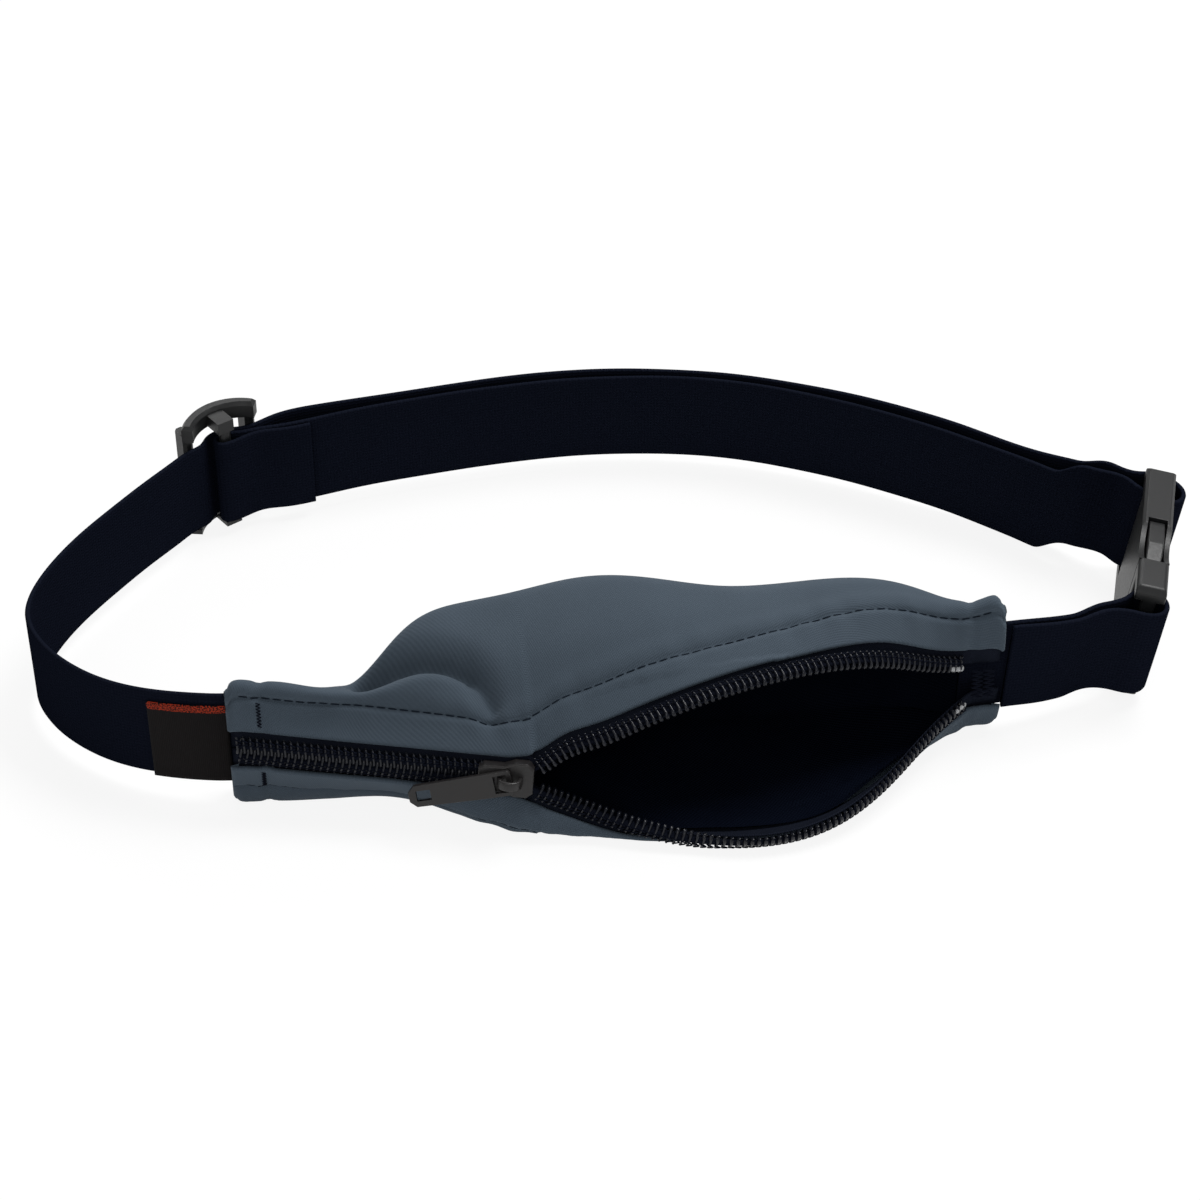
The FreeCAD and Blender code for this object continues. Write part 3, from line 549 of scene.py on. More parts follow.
riding("webbing_left_run", 0, pass_start, "pocket", "strap_left_run")
giving("webbing_adjuster_in", pass_start, pass_start + 2, "strap_adjuster_pass")
riding("webbing_adjuster_over", pass_start + 2, pass_end - 2, "adjuster", None, 0.6)
giving("webbing_adjuster_out", pass_end - 2, pass_end)
riding("webbing_back_outer", pass_end, bend_outer_start, "pocket", "strap_back_outer")
giving("webbing_bend_outer", bend_outer_start, loop_start, "strap_bend_outer")
riding("webbing_socket_loop", loop_start, loop_end, "socket", "strap_socket_loop", 0.5)
giving("webbing_bend_inner", loop_end, bend_inner_end, "strap_bend_inner")
riding("webbing_back_inner", bend_inner_end, slack_start, "pocket", "strap_back_inner")
giving("webbing_slack_inner", slack_start, inner_end, "strap_slack_inner")
riding("webbing_end_loop", inner_end, webbing_end, "adjuster", "strap_end_loop", 0.5, (False, True))
riding(
    "webbing_short_end", 0, len(right_run.places) - 1, "pocket", "strap_right", 0.6, (True, True), right_run)


# ---------- pocket surface
def in_pocket(x, y, z):
    return np.array([x * half_length, y * pocket_depth, z * pocket_height])


chain_start = in_pocket(-1.0, -0.095, 0.445)
chain_end = in_pocket(-0.31, -0.335, 0.355)
chain_along = unit(chain_end - chain_start)
chain_level = unit(np.cross(chain_along, (0, 0, 1)))
chain_up = unit(np.cross(chain_level, chain_along))
tilt = math.radians(zipper_tilt)
chain_out = chain_level * math.cos(tilt) + chain_up * math.sin(tilt)
chain_side = unit(np.cross(chain_out, chain_along))


def spread_point(ahead, side):
    return chain_end + chain_along * ahead + chain_side * side


upper_curve = Spline([chain_end, spread_point(slider_front / 2, 0.55), spread_point(slider_front, 1.4)] + [
    in_pocket(*p) for p in (
        (-0.175, -0.345, 0.475), (-0.09, -0.35, 0.545), (0.02, -0.35, 0.645), (0.17, -0.335, 0.755),
        (0.35, -0.3, 0.82), (0.53, -0.25, 0.81), (0.68, -0.19, 0.72), (0.82, -0.12, 0.575),
        (0.93, -0.07, 0.5))])
lower_curve = Spline([chain_end, spread_point(slider_front / 2, -0.55), spread_point(slider_front, -1.4)] + [
    in_pocket(*p) for p in (
        (-0.17, -0.385, 0.235), (-0.04, -0.465, 0.155), (0.1, -0.55, 0.105), (0.25, -0.625, 0.085),
        (0.39, -0.625, 0.085), (0.52, -0.565, 0.115), (0.66, -0.42, 0.17), (0.81, -0.22, 0.26),
        (0.93, -0.09, 0.33))])
stations = np.array([
    # x, belly y z, base front back z, back y, crest y z, seam y z
    (-1.0, -0.055, 0.11, -0.045, 0.04, 0.0, 0.055, 0.0, 0.8, -0.058, 0.62),
    (-0.87, -0.085, 0.1, -0.065, 0.05, 0.0, 0.064, 0.0, 0.78, -0.07, 0.6),
    (-0.72, -0.12, 0.1, -0.075, 0.06, 0.0, 0.11, -0.03, 0.75, -0.1, 0.585),
    (-0.57, -0.18, 0.1, -0.105, 0.13, 0.0, 0.22, 0.12, 0.845, -0.145, 0.6),
    (-0.43, -0.33, 0.08, -0.22, 0.19, 0.0, 0.35, 0.23, 0.915, -0.19, 0.58),
    (-0.27, -0.47, 0.07, -0.36, 0.22, 0.0, 0.41, 0.26, 0.96, -0.2, 0.62),
    (-0.09, -0.53, 0.05, -0.43, 0.23, 0.0, 0.43, 0.26, 1.0, -0.18, 0.74),
    (0.11, -0.585, 0.03, -0.49, 0.22, 0.0, 0.4, 0.22, 0.995, -0.14, 0.83),
    (0.3, -0.6, 0.02, -0.5, 0.2, 0.0, 0.37, 0.16, 0.965, -0.105, 0.91),
    (0.5, -0.54, 0.03, -0.46, 0.19, 0.0, 0.35, 0.14, 0.955, -0.08, 0.925),
    (0.67, -0.36, 0.06, -0.28, 0.15, 0.0, 0.3, 0.12, 0.95, -0.06, 0.925),
    (0.82, -0.15, 0.09, -0.1, 0.1, 0.01, 0.19, 0.07, 0.905, -0.05, 0.85),
    (0.93, -0.068, 0.14, -0.048, 0.05, 0.05, 0.08, 0.01, 0.86, -0.058, 0.77),
    (1.0, -0.055, 0.16, -0.045, 0.04, 0.075, 0.055, 0.0, 0.85, -0.058, 0.73)])
columns = Spline(stations[:, 1:], stations[:, 0])
crest_half = 0.03
flat_steps = (1.6, 3.2, 4.4)        # poles that keep the cloth flat beside the closed teeth
upper_lip, lower_lip = [
    curve.at(np.linspace(curve.places[0], curve.places[-1], lip_points))
    for curve in (upper_curve, lower_curve)]


def lip_at(fine, x):
    return np.array([x, np.interp(x, fine[:, 0], fine[:, 1]), np.interp(x, fine[:, 0], fine[:, 2])])


class Section:
    """The cloth's outer line in one upright plane, from the lower lip to the upper."""

    def __init__(self, x_mm):
        x = x_mm / half_length
        (belly_y, belly_z, base_front, base_back, base_z,
         back, crest_y, crest_z, seam_y, seam_z) = columns.at(x)[0]
        if x_mm <= chain_end[0]:
            share = (x_mm - chain_start[0]) / (chain_end[0] - chain_start[0])
            lower = upper = chain_start + (chain_end - chain_start) * share
        else:
            lower, upper = lip_at(lower_lip, x_mm), lip_at(upper_lip, x_mm)
        start, end = [lower], [upper]
        if x_mm <= chain_end[0] + slider_front:
            across = unit((0, chain_side[1], chain_side[2]))
            start += [lower - across * step for step in flat_steps]
            end = [upper + across * step for step in flat_steps[::-1]] + end
        outline = [(belly_y, belly_z)]
        outline += [(base_front + (base_back - base_front) * k / 3, base_z) for k in range(4)]
        outline += [
            (back * 0.97, crest_z * 0.18), (back, crest_z * 0.5),
            (back * 0.85 + crest_y * 0.15, crest_z * 0.86),
            (crest_y + crest_half, crest_z), (crest_y - crest_half, crest_z),
            (seam_y * 0.7 + crest_y * 0.3, seam_z * 0.25 + crest_z * 0.75), (seam_y, seam_z)]
        middle = [in_pocket(x, *point) for point in outline]
        for point in middle[1:5]:
            point[2] -= base_skim
        self.fine = clamped(start + middle + end, section_points)
        self.run = run_of(self.fine)
        self.length = self.run[-1]
        ahead = headings(self.fine)
        self.outs = np.stack([np.zeros(len(ahead)), ahead[:, 2], -ahead[:, 1]], 1)

    def at(self, distances, depth):
        """Points at distances from the lower lip, `depth` below the surface, and their normals."""
        out = read_off(distances, self.run, self.outs)
        out /= np.linalg.norm(out, axis=1)[:, None]
        return read_off(distances, self.run, self.fine) - out * depth, out


crease_line = Spline(np.array([
    (-0.67, 0.017), (-0.54, 0.025), (-0.43, 0.0), (-0.363, -0.067), (-0.336, -0.15)]) * (
        half_length, pocket_depth)).even(0.8)[0]
# how far the cloth's top line stands above or below the even section, along the pocket
crest_trim = Spline(
    np.array([1.0, 0.0, -0.2, -1.5, 1.3, 0.0, -0.6, 0.8, -0.5, 0.0, 0.3, 0.0, 3.0])[:, None],
    [-91, -85, -74, -62, -48, -36, -22, -2.6, 26, 46, 70, 82, 90.5])


def creased(points):
    """Points of the pocket's upper side lowered where the crease beside the zipper runs."""
    x, _, z = points.T
    gap = np.sqrt(((points[:, None, :2] - crease_line[None]) ** 2).sum(2)).min(1)
    share = ramp(x / half_length + 0.78, 0.13) * ramp(-0.26 - x / half_length, 0.13)
    share = share * ramp(z / pocket_height - 0.48, 0.13)
    lowered = points.copy()
    lowered[:, 2] -= share * (4.6 * swell(gap, 3.4) + 1.9 * swell(gap, 1.4))
    return lowered


def modelled(points, outs, edge, upper):
    """Cloth points with the hems, seams, folds and creases of the sewn pocket."""
    x, y, z = points.T
    stitch = edge - stitch_in
    lift = 0.3 * ramp(-stitch, 0.8)                                 # the doubled hem
    lift = lift - 0.55 * swell(stitch, 0.75)                        # the topstitching's groove
    lift = lift + 0.45 * swell(stitch - 3.2, 2.4)                   # the roll behind it
    lift = lift + swell(stitch, 4.5) * 0.22 * ripple(x * 1.0, edge * 0.25, seed=11)
    lift = lift + 0.35 * ripple(x * 0.09, y * 0.11, z * 0.1, seed=5)
    for end in (-half_length, half_length):
        away = np.abs(x - end)                                      # the cuff and its seam
        lift = lift + 0.5 * swell(away, 2.6) - 0.5 * swell(away - 7.5, 1.3) * (z < 40)
    moved = creased(points + outs * lift[:, None])
    ridge = swell(y + 5.2, 2.2) * ramp(x + 74, 12) * ramp(-40 - x, 8)
    moved[:, 2] += 1.2 * ridge * (ramp(z - 21, 5) * upper)
    trim = crest_trim.at(np.clip(x, -91, 90.5))[:, 0]
    moved[:, 2] += trim * ramp(z / pocket_height - 0.58, 0.24) * (y > -12)
    inset = 1 - ramp(half_length - np.abs(x), corner_round)
    corner = corner_round * (1 - np.sqrt(1 - 0.97 * inset ** 2))
    moved[:, 2] -= corner * ramp(z - 24, 9)
    moved[:, 2] += 0.5 * corner * ramp(8 - z, 5)
    return moved


class Cloth:
    """The sewn cloth as a grid: rows along the pocket, columns round it."""

    def __init__(self, places, columns_round):
        self.places = places
        rows, section_outs, runs = [], [], []
        for x in places:
            section = Section(x)
            reach = section.length - 2 * fabric_edge
            distances = fabric_edge + reach * np.linspace(0, 1, columns_round)
            points, outs = section.at(distances, 0.0)
            edge = np.minimum(distances - fabric_edge, section.length - fabric_edge - distances)
            points = modelled(points, outs, edge, distances > section.length / 2)
            points[:, 2] = np.maximum(points[:, 2], 0.05)
            rows.append(points)
            section_outs.append(outs)
            runs.append(distances)
        self.points, self.runs = np.array(rows), np.array(runs)
        normals = np.cross(np.gradient(self.points, axis=1), np.gradient(self.points, axis=0))
        normals /= np.maximum(np.linalg.norm(normals, axis=2)[..., None], 1e-9)
        facing = np.sign((normals * np.array(section_outs)).sum(2))[..., None]
        self.normals = normals * np.where(facing == 0, 1, facing)

    def spot(self, x, edge, upper):
        """The point and normal `edge` in from the cloth's upper or lower folded edge."""
        i = np.clip(np.searchsorted(self.places, x) - 1, 0, len(self.places) - 2)
        share = (x - self.places[i]) / (self.places[i + 1] - self.places[i])
        found = []
        for row in (i, i + 1):
            run = self.runs[row]
            want = run[-1] - edge if upper else run[0] + edge
            found.append([read_off(want, run, table[row]) for table in (self.points, self.normals)])
        point, normal = [before * (1 - share) + after * share for before, after in zip(*found)]
        return point, unit(normal)


pocket = Cloth(np.concatenate([
    np.linspace(-half_length, -half_length + end_stretch, end_places)[:-1],
    np.linspace(-half_length + end_stretch, half_length - end_stretch, skin_places),
    np.linspace(half_length - end_stretch, half_length, end_places)[1:]]), skin_columns)


def make_pocket():
    """The outer skin, its folded edges, its inner skin and its closed ends."""
    points, normals = pocket.points, pocket.normals
    rows, count = points.shape[:2]
    ends = []
    for index, way in ((0, -1.0), (rows - 1, 1.0)):
        flat = normals[index] * (0, 1, 1)
        flat /= np.linalg.norm(flat, axis=1)[:, None]
        rings = []
        for k in range(1, fold_steps + 1):
            turn = math.pi / 2 * k / fold_steps
            shift = np.array([way * 0.8 * math.sin(turn), 0, 0])
            rings.append(points[index] - flat * 1.4 * (1 - math.cos(turn)) + shift)
        rings.append(points[index] - flat * 1.8 - np.array([way * 1.2, 0, 0]))
        ends.append(rings)
    outer = np.concatenate([ends[0][::-1], points, ends[1]])
    extra = len(ends[0])
    inner, flow = [
        np.concatenate([[table[0]] * extra, table, [table[-1]] * extra])
        for table in (points - normals * fabric_wall,
                      np.stack([np.repeat(pocket.places[:, None], count, 1), pocket.runs], 2))]
    for stretch in (slice(None, extra), slice(-extra, None)):
        inner[stretch, :, 0] = outer[stretch, :, 0]
    folds = []
    for column, way in ((0, 1), (count - 1, -1)):
        ahead = outer[:, column + way] - outer[:, column]
        ahead /= np.maximum(np.linalg.norm(ahead, axis=1)[:, None], 1e-9)
        centre = (outer[:, column] + inner[:, column]) / 2
        up = (outer[:, column] - inner[:, column]) / 2
        turns = [math.pi * k / (fold_steps + 1) for k in range(1, fold_steps + 1)]
        folds.append([
            centre + up * math.cos(turn) - ahead * np.linalg.norm(up, axis=1)[:, None] * math.sin(turn)
            for turn in turns])
    # one closed loop of columns: outer skin, upper fold, inner skin, lower fold
    outer, inner, flow = [table.swapaxes(0, 1) for table in (outer, inner, flow)]
    loop = np.stack([*outer, *folds[1], *inner[::-1], *folds[0][::-1]], 1)
    flow = np.stack([*flow, *[flow[-1]] * fold_steps, *flow[::-1], *[flow[0]] * fold_steps], 1)
    faces = grid_faces(*loop.shape[:2], wrap=True)
    made = mesh_object("pocket_cloth", loop.reshape(-1, 3), faces, cloth, flow.reshape(-1, 2))
    seat(made, "pocket", "pocket_shell")


make_pocket()


def make_tape(side, upper):
    """A zipper tape: a strip that follows one lip, a little below the cloth's surface."""
    top, low, flow = [], [], []
    spots = np.linspace(-half_length, half_length, int(2 * half_length / 1.5))
    for x in spots:
        section = Section(x)
        reach = np.linspace(tape_from, tape_to, 12)
        surface, out = section.at(section.length - reach if upper else reach, tape_below)
        top.append(surface)
        low.append(surface - out * tape_thickness)
        flow.append([(x, distance) for distance in reach])
    top, low, flow = np.array(top), np.array(low), np.array(flow)
    loop = np.concatenate([top, low[:, ::-1]], 1)
    flow = np.concatenate([flow, flow[:, ::-1]], 1)
    faces = grid_faces(*loop.shape[:2], wrap=True, flip=upper) + end_faces(*loop.shape[:2], flip=not upper)
    made = mesh_object("tape_" + side, loop.reshape(-1, 3), faces, tape_cloth, flow.reshape(-1, 2))
    seat(made, "pocket", "zipper_tape_" + side)


make_tape("upper", True)
make_tape("lower", False)


def make_lining():
    """The inner bag, a little way inside the outer cloth, loosely folded."""
    stretch = slice(*np.searchsorted(pocket.places, (lining_from, lining_to)), 2)
    grid, outs = pocket.points[stretch, 2:-2:2], pocket.normals[stretch, 2:-2:2]
    x, y, z = grid[..., 0], grid[..., 1], grid[..., 2]
    depth = 2.6 + 0.7 * ripple(x * 0.16, y * 0.25, z * 0.25, seed=21)
    inside = grid - outs * depth[..., None]
    inside[..., 2] = np.maximum(inside[..., 2], 1.6)
    flow = np.stack([x, pocket.runs[stretch, 2:-2:2]], 2)
    made = mesh_object(
        "lining_cloth", inside.reshape(-1, 3), grid_faces(*inside.shape[:2], flip=True), lining_cloth,
        flow.reshape(-1, 2))
    seat(made, "pocket", "pocket_lining")


make_lining()


# ---------- repeated pieces
def scatter_tree():
    """Instances of one piece on a mesh's points, with each point's own turn and size."""
    tree = bpy.data.node_groups.new("scatter", "GeometryNodeTree")
    face = tree.interface
    for kind, name in (("Geometry", "Geometry"), ("Object", "Piece"), ("Material", "Material")):
        face.new_socket(name, in_out="INPUT", socket_type="NodeSocket" + kind)
    face.new_socket("Geometry", in_out="OUTPUT", socket_type="NodeSocketGeometry")
    given, done = tree.nodes.new("NodeGroupInput"), tree.nodes.new("NodeGroupOutput")
    info = tree.nodes.new("GeometryNodeObjectInfo")
    stored = []
    for name in ("turn", "size"):
        node = tree.nodes.new("GeometryNodeInputNamedAttribute")
        node.data_type = "FLOAT_VECTOR"
        node.inputs["Name"].default_value = name
        stored.append([socket for socket in node.outputs if socket.enabled][0])
    place = tree.nodes.new("GeometryNodeInstanceOnPoints")
    real = tree.nodes.new("GeometryNodeRealizeInstances")
    paint = tree.nodes.new("GeometryNodeSetMaterial")
    shade = tree.nodes.new("GeometryNodeSetShadeSmooth")
    link = tree.links.new
    link(given.outputs["Geometry"], place.inputs["Points"])
    link(given.outputs["Piece"], info.inputs["Object"])
    link(info.outputs["Geometry"], place.inputs["Instance"])
    link(stored[0], place.inputs["Rotation"])
    link(stored[1], place.inputs["Scale"])
    link(place.outputs["Instances"], real.inputs["Geometry"])
    link(real.outputs["Geometry"], shade.inputs["Geometry"])
    link(shade.outputs["Geometry"], paint.inputs["Geometry"])
    link(given.outputs["Material"], paint.inputs["Material"])
    link(paint.outputs["Geometry"], done.inputs["Geometry"])
    return tree


scatter = scatter_tree()


def scattered(name, spots, piece, material):
    """One mesh of copies of `piece`. Each spot is (point, x axis, z axis, scale)."""
    points, turns, sizes = [], [], []
    for point, ahead, out, scale in spots:
        ahead = unit(ahead)
        side = unit(np.cross(out, ahead))
        top = np.cross(ahead, side)
        turns.append(tuple(Matrix((ahead, side, top)).transposed().to_euler()))
        points.append(tuple(np.asarray(point) * 0.001))
        sizes.append(scale)
    mesh = bpy.data.meshes.new(name + "_points")
    mesh.from_pydata(points, [], [])
    for label, values in (("turn", turns), ("size", sizes)):
        layer = mesh.attributes.new(label, "FLOAT_VECTOR", "POINT")
        layer.data.foreach_set("vector", np.array(values, float).ravel())
    source = shown(name + "_points", mesh)
    modifier = source.modifiers.new("scatter", "NODES")
    modifier.node_group = scatter
    sockets = {s.name: s.identifier for s in scatter.interface.items_tree if s.in_out == "INPUT"}
    modifier[sockets["Piece"]] = piece
    modifier[sockets["Material"]] = material
    ready = source.evaluated_get(bpy.context.evaluated_depsgraph_get())
    baked = bpy.data.meshes.new_from_object(ready)
    baked.name = name
    made = shown(name, baked)
    bpy.data.objects.remove(source)
    return made


def tube_mesh(name, line, radii, around):
    """A tube in metres along points in millimetres. `radii` are (wide, tall) at each point."""
    line = np.asarray(line, float)
    points = []
    for spot, way, (wide, tall) in zip(line, headings(line), radii):
        level = (0, 0, 1.0) if abs(way[2]) < 0.98 else (1.0, 0, 0)
        side = unit(np.cross(level, way))
        up = np.cross(way, side)
        for k in range(around):
            turn = 2 * math.pi * k / around
            points.append(spot + side * wide * math.cos(turn) + up * tall * math.sin(turn))
    faces = grid_faces(len(line), around, wrap=True, flip=True) + end_faces(len(line), around)
    mesh = bpy.data.meshes.new(name)
    mesh.from_pydata([tuple(point * 0.001) for point in points], [], faces)
    mesh.polygons.foreach_set("use_smooth", [True] * len(mesh.polygons))
    return mesh


def tube(name, line, radii, around):
    """A tube to be scattered, kept out of the scene."""
    return bpy.data.objects.new(name, tube_mesh(name, line, radii, around))


def capsule(name, length, wide, tall):
    shares = (-0.5, -0.42, -0.25, 0.25, 0.42, 0.5)
    swells = (0.25, 0.75, 1.0, 1.0, 0.75, 0.25)
    line = [(length * share, 0, 0) for share in shares]
    return tube(name, line, [(wide * swollen, tall * swollen) for swollen in swells], 6)


# one turn of the coil: up over the top, round its head past the centre, and back below
coil_line = Spline([
    (-0.55, 3.1, 0.35), (-0.35, 2.5, 0.95), (-0.18, 1.5, 1.1), (0.0, 0.3, 1.0), (0.0, -0.45, 0.75),
    (0.0, -0.8, 0.2), (0.05, -0.45, -0.35), (0.15, 0.6, -0.6), (0.4, 2.0, -0.6), (0.75, 3.0, -0.3)])
coil_line = coil_line.even(0.45)[0]
coil_heads = swell(coil_line[:, 1] + 0.5, 0.55)
coil_turn = tube("coil_turn", coil_line, [(0.30 + 0.2 * head, 0.30 + 0.04 * head) for head in coil_heads], 7)
stitch_piece = capsule("stitch_piece", 2.1, 0.17, 0.13)
tack_piece = capsule("tack_piece", 1.5, 0.13, 0.13)
stop_piece = capsule("stop_piece", 2.0, 0.9, 0.5)
cord_piece = capsule("cord_piece", 1.7, 0.2, 0.24)
as_made = (1, 1, 1)


def lip_frame(fine, marks, place, upper):
    """Origin, along, side and out at a distance along an open lip."""
    origin = read_off(place, marks, fine)
    along = unit(read_off(place + 0.3, marks, fine) - origin)
    section = Section(min(origin[0], half_length - 0.2))
    inward = np.array([section.length - 1.5, section.length - 0.2]) if upper else np.array([1.5, 0.2])
    inner, outer = section.at(inward, 0)[0]
    side = unit(inner - outer)
    side = unit(side - along * np.dot(side, along))
    out = np.cross(along, side) if upper else np.cross(side, along)
    return origin, along, side, unit(out)


def teeth_of(curve, upper):
    """Each tooth's (origin, along, side, out): the closed row back from the slider, then the open one."""
    side = chain_side if upper else -chain_side
    shift = 0 if upper else tooth_pitch / 2
    closed_length = np.linalg.norm(chain_end - chain_start)
    teeth = []
    for index in range(int((closed_length - 0.5) / tooth_pitch)):
        origin = chain_end - chain_along * (tooth_pitch * (index + 1) - shift) + chain_out * coil_depth
        teeth.append((origin, chain_along, side, chain_out))
    fine, marks = curve.even(0.2)
    for index in range(int((marks[-1] - hidden_teeth - 1.5) / tooth_pitch)):
        origin, along, way, out = lip_frame(fine, marks, hidden_teeth + tooth_pitch * index, upper)
        teeth.append((origin + out * coil_depth, along, way, out))
    return teeth


teeth_spots = {"upper": teeth_of(upper_curve, True), "lower": teeth_of(lower_curve, False)}


def make_coil(side):
    """One side's coil, and the two rows of sewing that hold it to its tape."""
    turns, sewing = [], []
    for origin, along, way, out in teeth_spots[side]:
        flip = 1.0 if np.dot(np.cross(out, along), way) > 0 else -1.0
        turns.append((origin, along, out, (1.0, flip, 1.0)))
        sewing.append((origin + way * 1.75 + out * 1.3, along + way * 0.35, out, as_made))
        sewing.append((origin + way * 2.6 + out * 1.05, along - way * 0.35, out, as_made))
    coil = scattered("coil_" + side, turns, coil_turn, coil_plastic)
    seat(coil, "pocket", "zipper_teeth_" + side)
    seat(scattered("coil_sewing_" + side, sewing, cord_piece, thread_dark), "pocket")


def make_coil_cord(side):
    """The soft cord that fills the coil, so that no light passes through it."""
    line = np.array([origin + way * 1.25 + out * 0.22 for origin, _, way, out in teeth_spots[side]])
    fine = Spline(line[np.argsort(line[:, 0])]).even(0.9)[0]
    mesh = tube_mesh("coil_cord_" + side, fine, [(1.05, 0.62)] * len(fine), 8)
    mesh.materials.append(thread_dark)
    seat(shown("coil_cord_" + side + ".001", mesh), "pocket")


make_coil("upper")
make_coil("lower")
make_coil_cord("upper")
make_coil_cord("lower")


def stitch_row(name, upper, pitch=2.7):
    """Topstitching along one folded edge."""
    line = [pocket.spot(x, stitch_in, upper) for x in np.arange(-half_length + 2.5, half_length - 2.5, 0.25)]
    points, outs = [np.array(table) for table in zip(*line)]
    run = run_of(points)
    spots = []
    for mark in np.arange(1.0, run[-1] - 1, pitch):
        here = read_off(mark, run, points)
        ahead = read_off(mark + 0.5, run, points) - here
        out = read_off(mark, run, outs)
        spots.append((here + out * 0.08, ahead, out, as_made))
    seat(scattered(name, spots, stitch_piece, thread_slate), "pocket")


stitch_row("topstitch_upper", True)
stitch_row("topstitch_lower", False)


def bar_tack(name, x, upper, start=1.0, end=6.6, count=15):
    """A short dense zigzag across a hem."""
    spots = []
    for k in range(count):
        edge = start + (end - start) * k / (count - 1)
        point, out = pocket.spot(x, edge, upper)
        ahead = pocket.spot(x + 0.5, edge, upper)[0] - point
        lean = 0.35 if k % 2 else -0.35
        spots.append((point + out * 0.12, unit(ahead) + unit(np.cross(out, ahead)) * lean, out, (0.8, 1, 1)))
    seat(scattered(name, spots, tack_piece, thread_dark), "pocket")


bar_tack("bar_tack_left_upper", -85.5, True)
bar_tack("bar_tack_left_lower", -85.5, False)


def zipper_end(count=13):
    """The thread block that closes the zipper's open end, and the coil's two clear stops."""
    spots = []
    for x in (86.2, 89.0):
        low, high = lip_at(lower_lip, x), lip_at(upper_lip, x)
        for k in range(count):
            share = (k + 0.5) / count
            point = low * (1 - share) + high * share + (0, -1.1, 0)
            spots.append((point, (1.0, 0.0, 0.25 if k % 2 else -0.25), (0, -1, 0), (2.0, 2.6, 2.2)))
    seat(scattered("zipper_end_tack", spots, tack_piece, thread_dark), "pocket")
    stops = []
    for side in ("upper", "lower"):
        for origin, along, way, out in teeth_spots[side][-2:]:
            stops.append((origin + way * 0.2 + out * 0.75, along, out, as_made))
    seat(scattered("clear_stops", stops, stop_piece, clear_stop), "pocket", "zipper_top_stops")


zipper_end()


# ---------- label
def make_label():
    """The side label, laid on the elastic's outer face where it leaves the pocket."""
    start = elastic.places[1] + 0.3
    line, marks = elastic.even(0.8, start, start + 19.0)
    ahead = headings(line)
    shifted = line + np.stack([-ahead[:, 1], ahead[:, 0]], 1) * 1.1
    made = band_mesh("side_label_cloth", shifted, marks, label_cloth, 3.9, 23.0, 0.55, (True, True))
    seat(made, "pocket", "side_label")


make_label()

# ---------- hard pieces, from the solids
# each solid's body, material and edge radius
hard = {
    "slider_body": ("slider", enamel, 0.28), "slider_bridge": ("slider", enamel, 0.3),
    "pull_tab": ("pull", enamel, 0.3), "adjuster": ("adjuster", plastic, 0.5),
    "buckle_socket": ("socket", plastic, 0.5), "buckle_plug": ("pocket", plastic, 0.5),
    "plug_arm_upper": ("arm_upper", plastic, 0.4), "plug_arm_lower": ("arm_lower", plastic, 0.4)}
adjuster_heights = ((0, 3.8, 30.2, 34), (2.2, 3.9, 32.0, 36.6))    # of the solid, and of the eased one


def eased_copy(node, body, material, radius):
    """A copy of a solid's mesh with its edges rounded, in millimetre radii."""
    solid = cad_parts[node]
    work = bmesh.new()
    work.from_mesh(solid.data)
    work.transform(solid.matrix_world)
    bmesh.ops.remove_doubles(work, verts=work.verts, dist=1e-6)
    if node == "adjuster":
        for vertex in work.verts:
            vertex.co.z = np.interp(vertex.co.z * 1000, *adjuster_heights) / 1000
    bmesh.ops.dissolve_limit(work, angle_limit=math.radians(2), verts=work.verts, edges=work.edges)
    sharp = [edge for edge in work.edges if len(edge.link_faces) == 2 and edge.calc_face_angle() > 0.3]
    bmesh.ops.bevel(
        work, geom=sharp, offset=radius * 0.001, segments=3, profile=0.5, affect="EDGES",
        clamp_overlap=True)
    bmesh.ops.triangulate(work, faces=[face for face in work.faces if len(face.verts) > 4])
    mesh = bpy.data.meshes.new(node + "_eased")
    work.to_mesh(mesh)
    work.free()
    mesh.polygons.foreach_set("use_smooth", [True] * len(mesh.polygons))
    mesh.materials.clear()
    mesh.materials.append(material)
    made = shown(node + "_eased", mesh)
    made.modifiers.new("even_normals", "WEIGHTED_NORMAL").keep_sharp = True
    seat(made, body, node)


for node, (body, material, radius) in hard.items():
    eased_copy(node, body, material, radius)

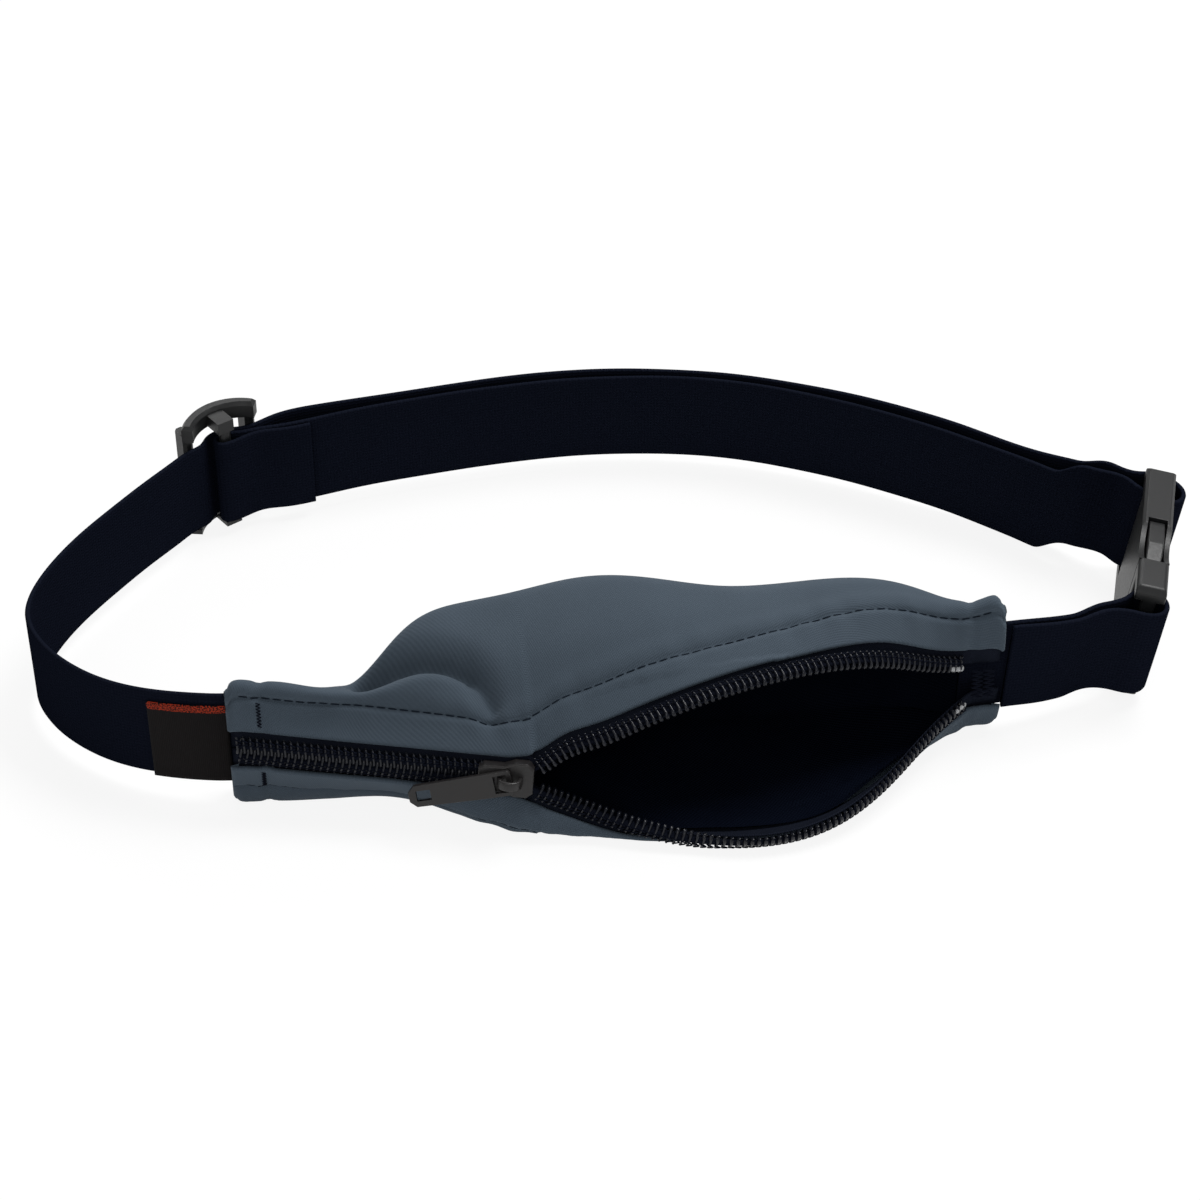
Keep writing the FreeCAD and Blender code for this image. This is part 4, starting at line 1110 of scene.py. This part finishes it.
# ---------- floor, light and camera
floor_look = Look("floor", (0.88, 0.88, 0.88), 0.9)
rays = floor_look.node("ShaderNodeLightPath").outputs
camera_ray, glossy_ray, transmission_ray = [
    Amount(floor_look, rays["Is " + kind + " Ray"]) for kind in ("Camera", "Glossy", "Transmission")]
glow = floor_look.node("ShaderNodeEmission", {"Color": (1, 1, 1, 1), "Strength": 1.0})
blend = floor_look.node("ShaderNodeMixShader", {
    0: (camera_ray + glossy_ray + transmission_ray).kept() * 0.88,
    1: floor_look.shader.outputs[0], 2: glow.outputs[0]})
floor_look.feed(floor_look.tree.nodes["Material Output"].inputs["Surface"], blend.outputs[0])
floor = mesh_object(
    "floor", [(-3000, -3000, 0), (3000, -3000, 0), (3000, 3000, 0), (-3000, 3000, 0)], [(0, 1, 2, 3)],
    floor_look.material)

world = bpy.data.worlds.new("world")
bpy.context.scene.world = world
world.use_nodes = True
background = world.node_tree.nodes["Background"]
background.inputs["Color"].default_value = (1, 1, 1, 1)
background.inputs["Strength"].default_value = 0.32


def aimed(place, target):
    """The turn that points an object at a place's target."""
    return (Vector(target) - Vector(place)).to_track_quat("-Z", "Y").to_euler()


def lamp(name, place, size, power):
    data = bpy.data.lights.new(name, "AREA")
    data.shape = "RECTANGLE"
    data.size, data.size_y = size
    data.energy = power
    made = bpy.data.objects.new(name, data)
    made.location = place
    made.rotation_euler = aimed(place, (0, 0.05, 0))
    bpy.context.scene.collection.objects.link(made)


lamp("key_light", (0.5, 0.3, 1.1), (0.6, 0.5), 15)
lamp("fill_light", (-0.3, -0.9, 0.7), (0.6, 0.6), 3)
lamp("back_light", (0.0, 1.1, 0.8), (0.9, 0.3), 4)

camera_data = bpy.data.cameras.new("camera")
camera_data.lens = 90
camera_data.sensor_width = 36
camera = bpy.data.objects.new("camera", camera_data)
camera.location = (-0.0838, -0.5433, 0.4784)
camera.rotation_euler = aimed(camera.location, (0.0045, 0.0626, 0))
bpy.context.scene.collection.objects.link(camera)
bpy.context.scene.camera = camera
bpy.context.scene.view_settings.view_transform = "Standard"
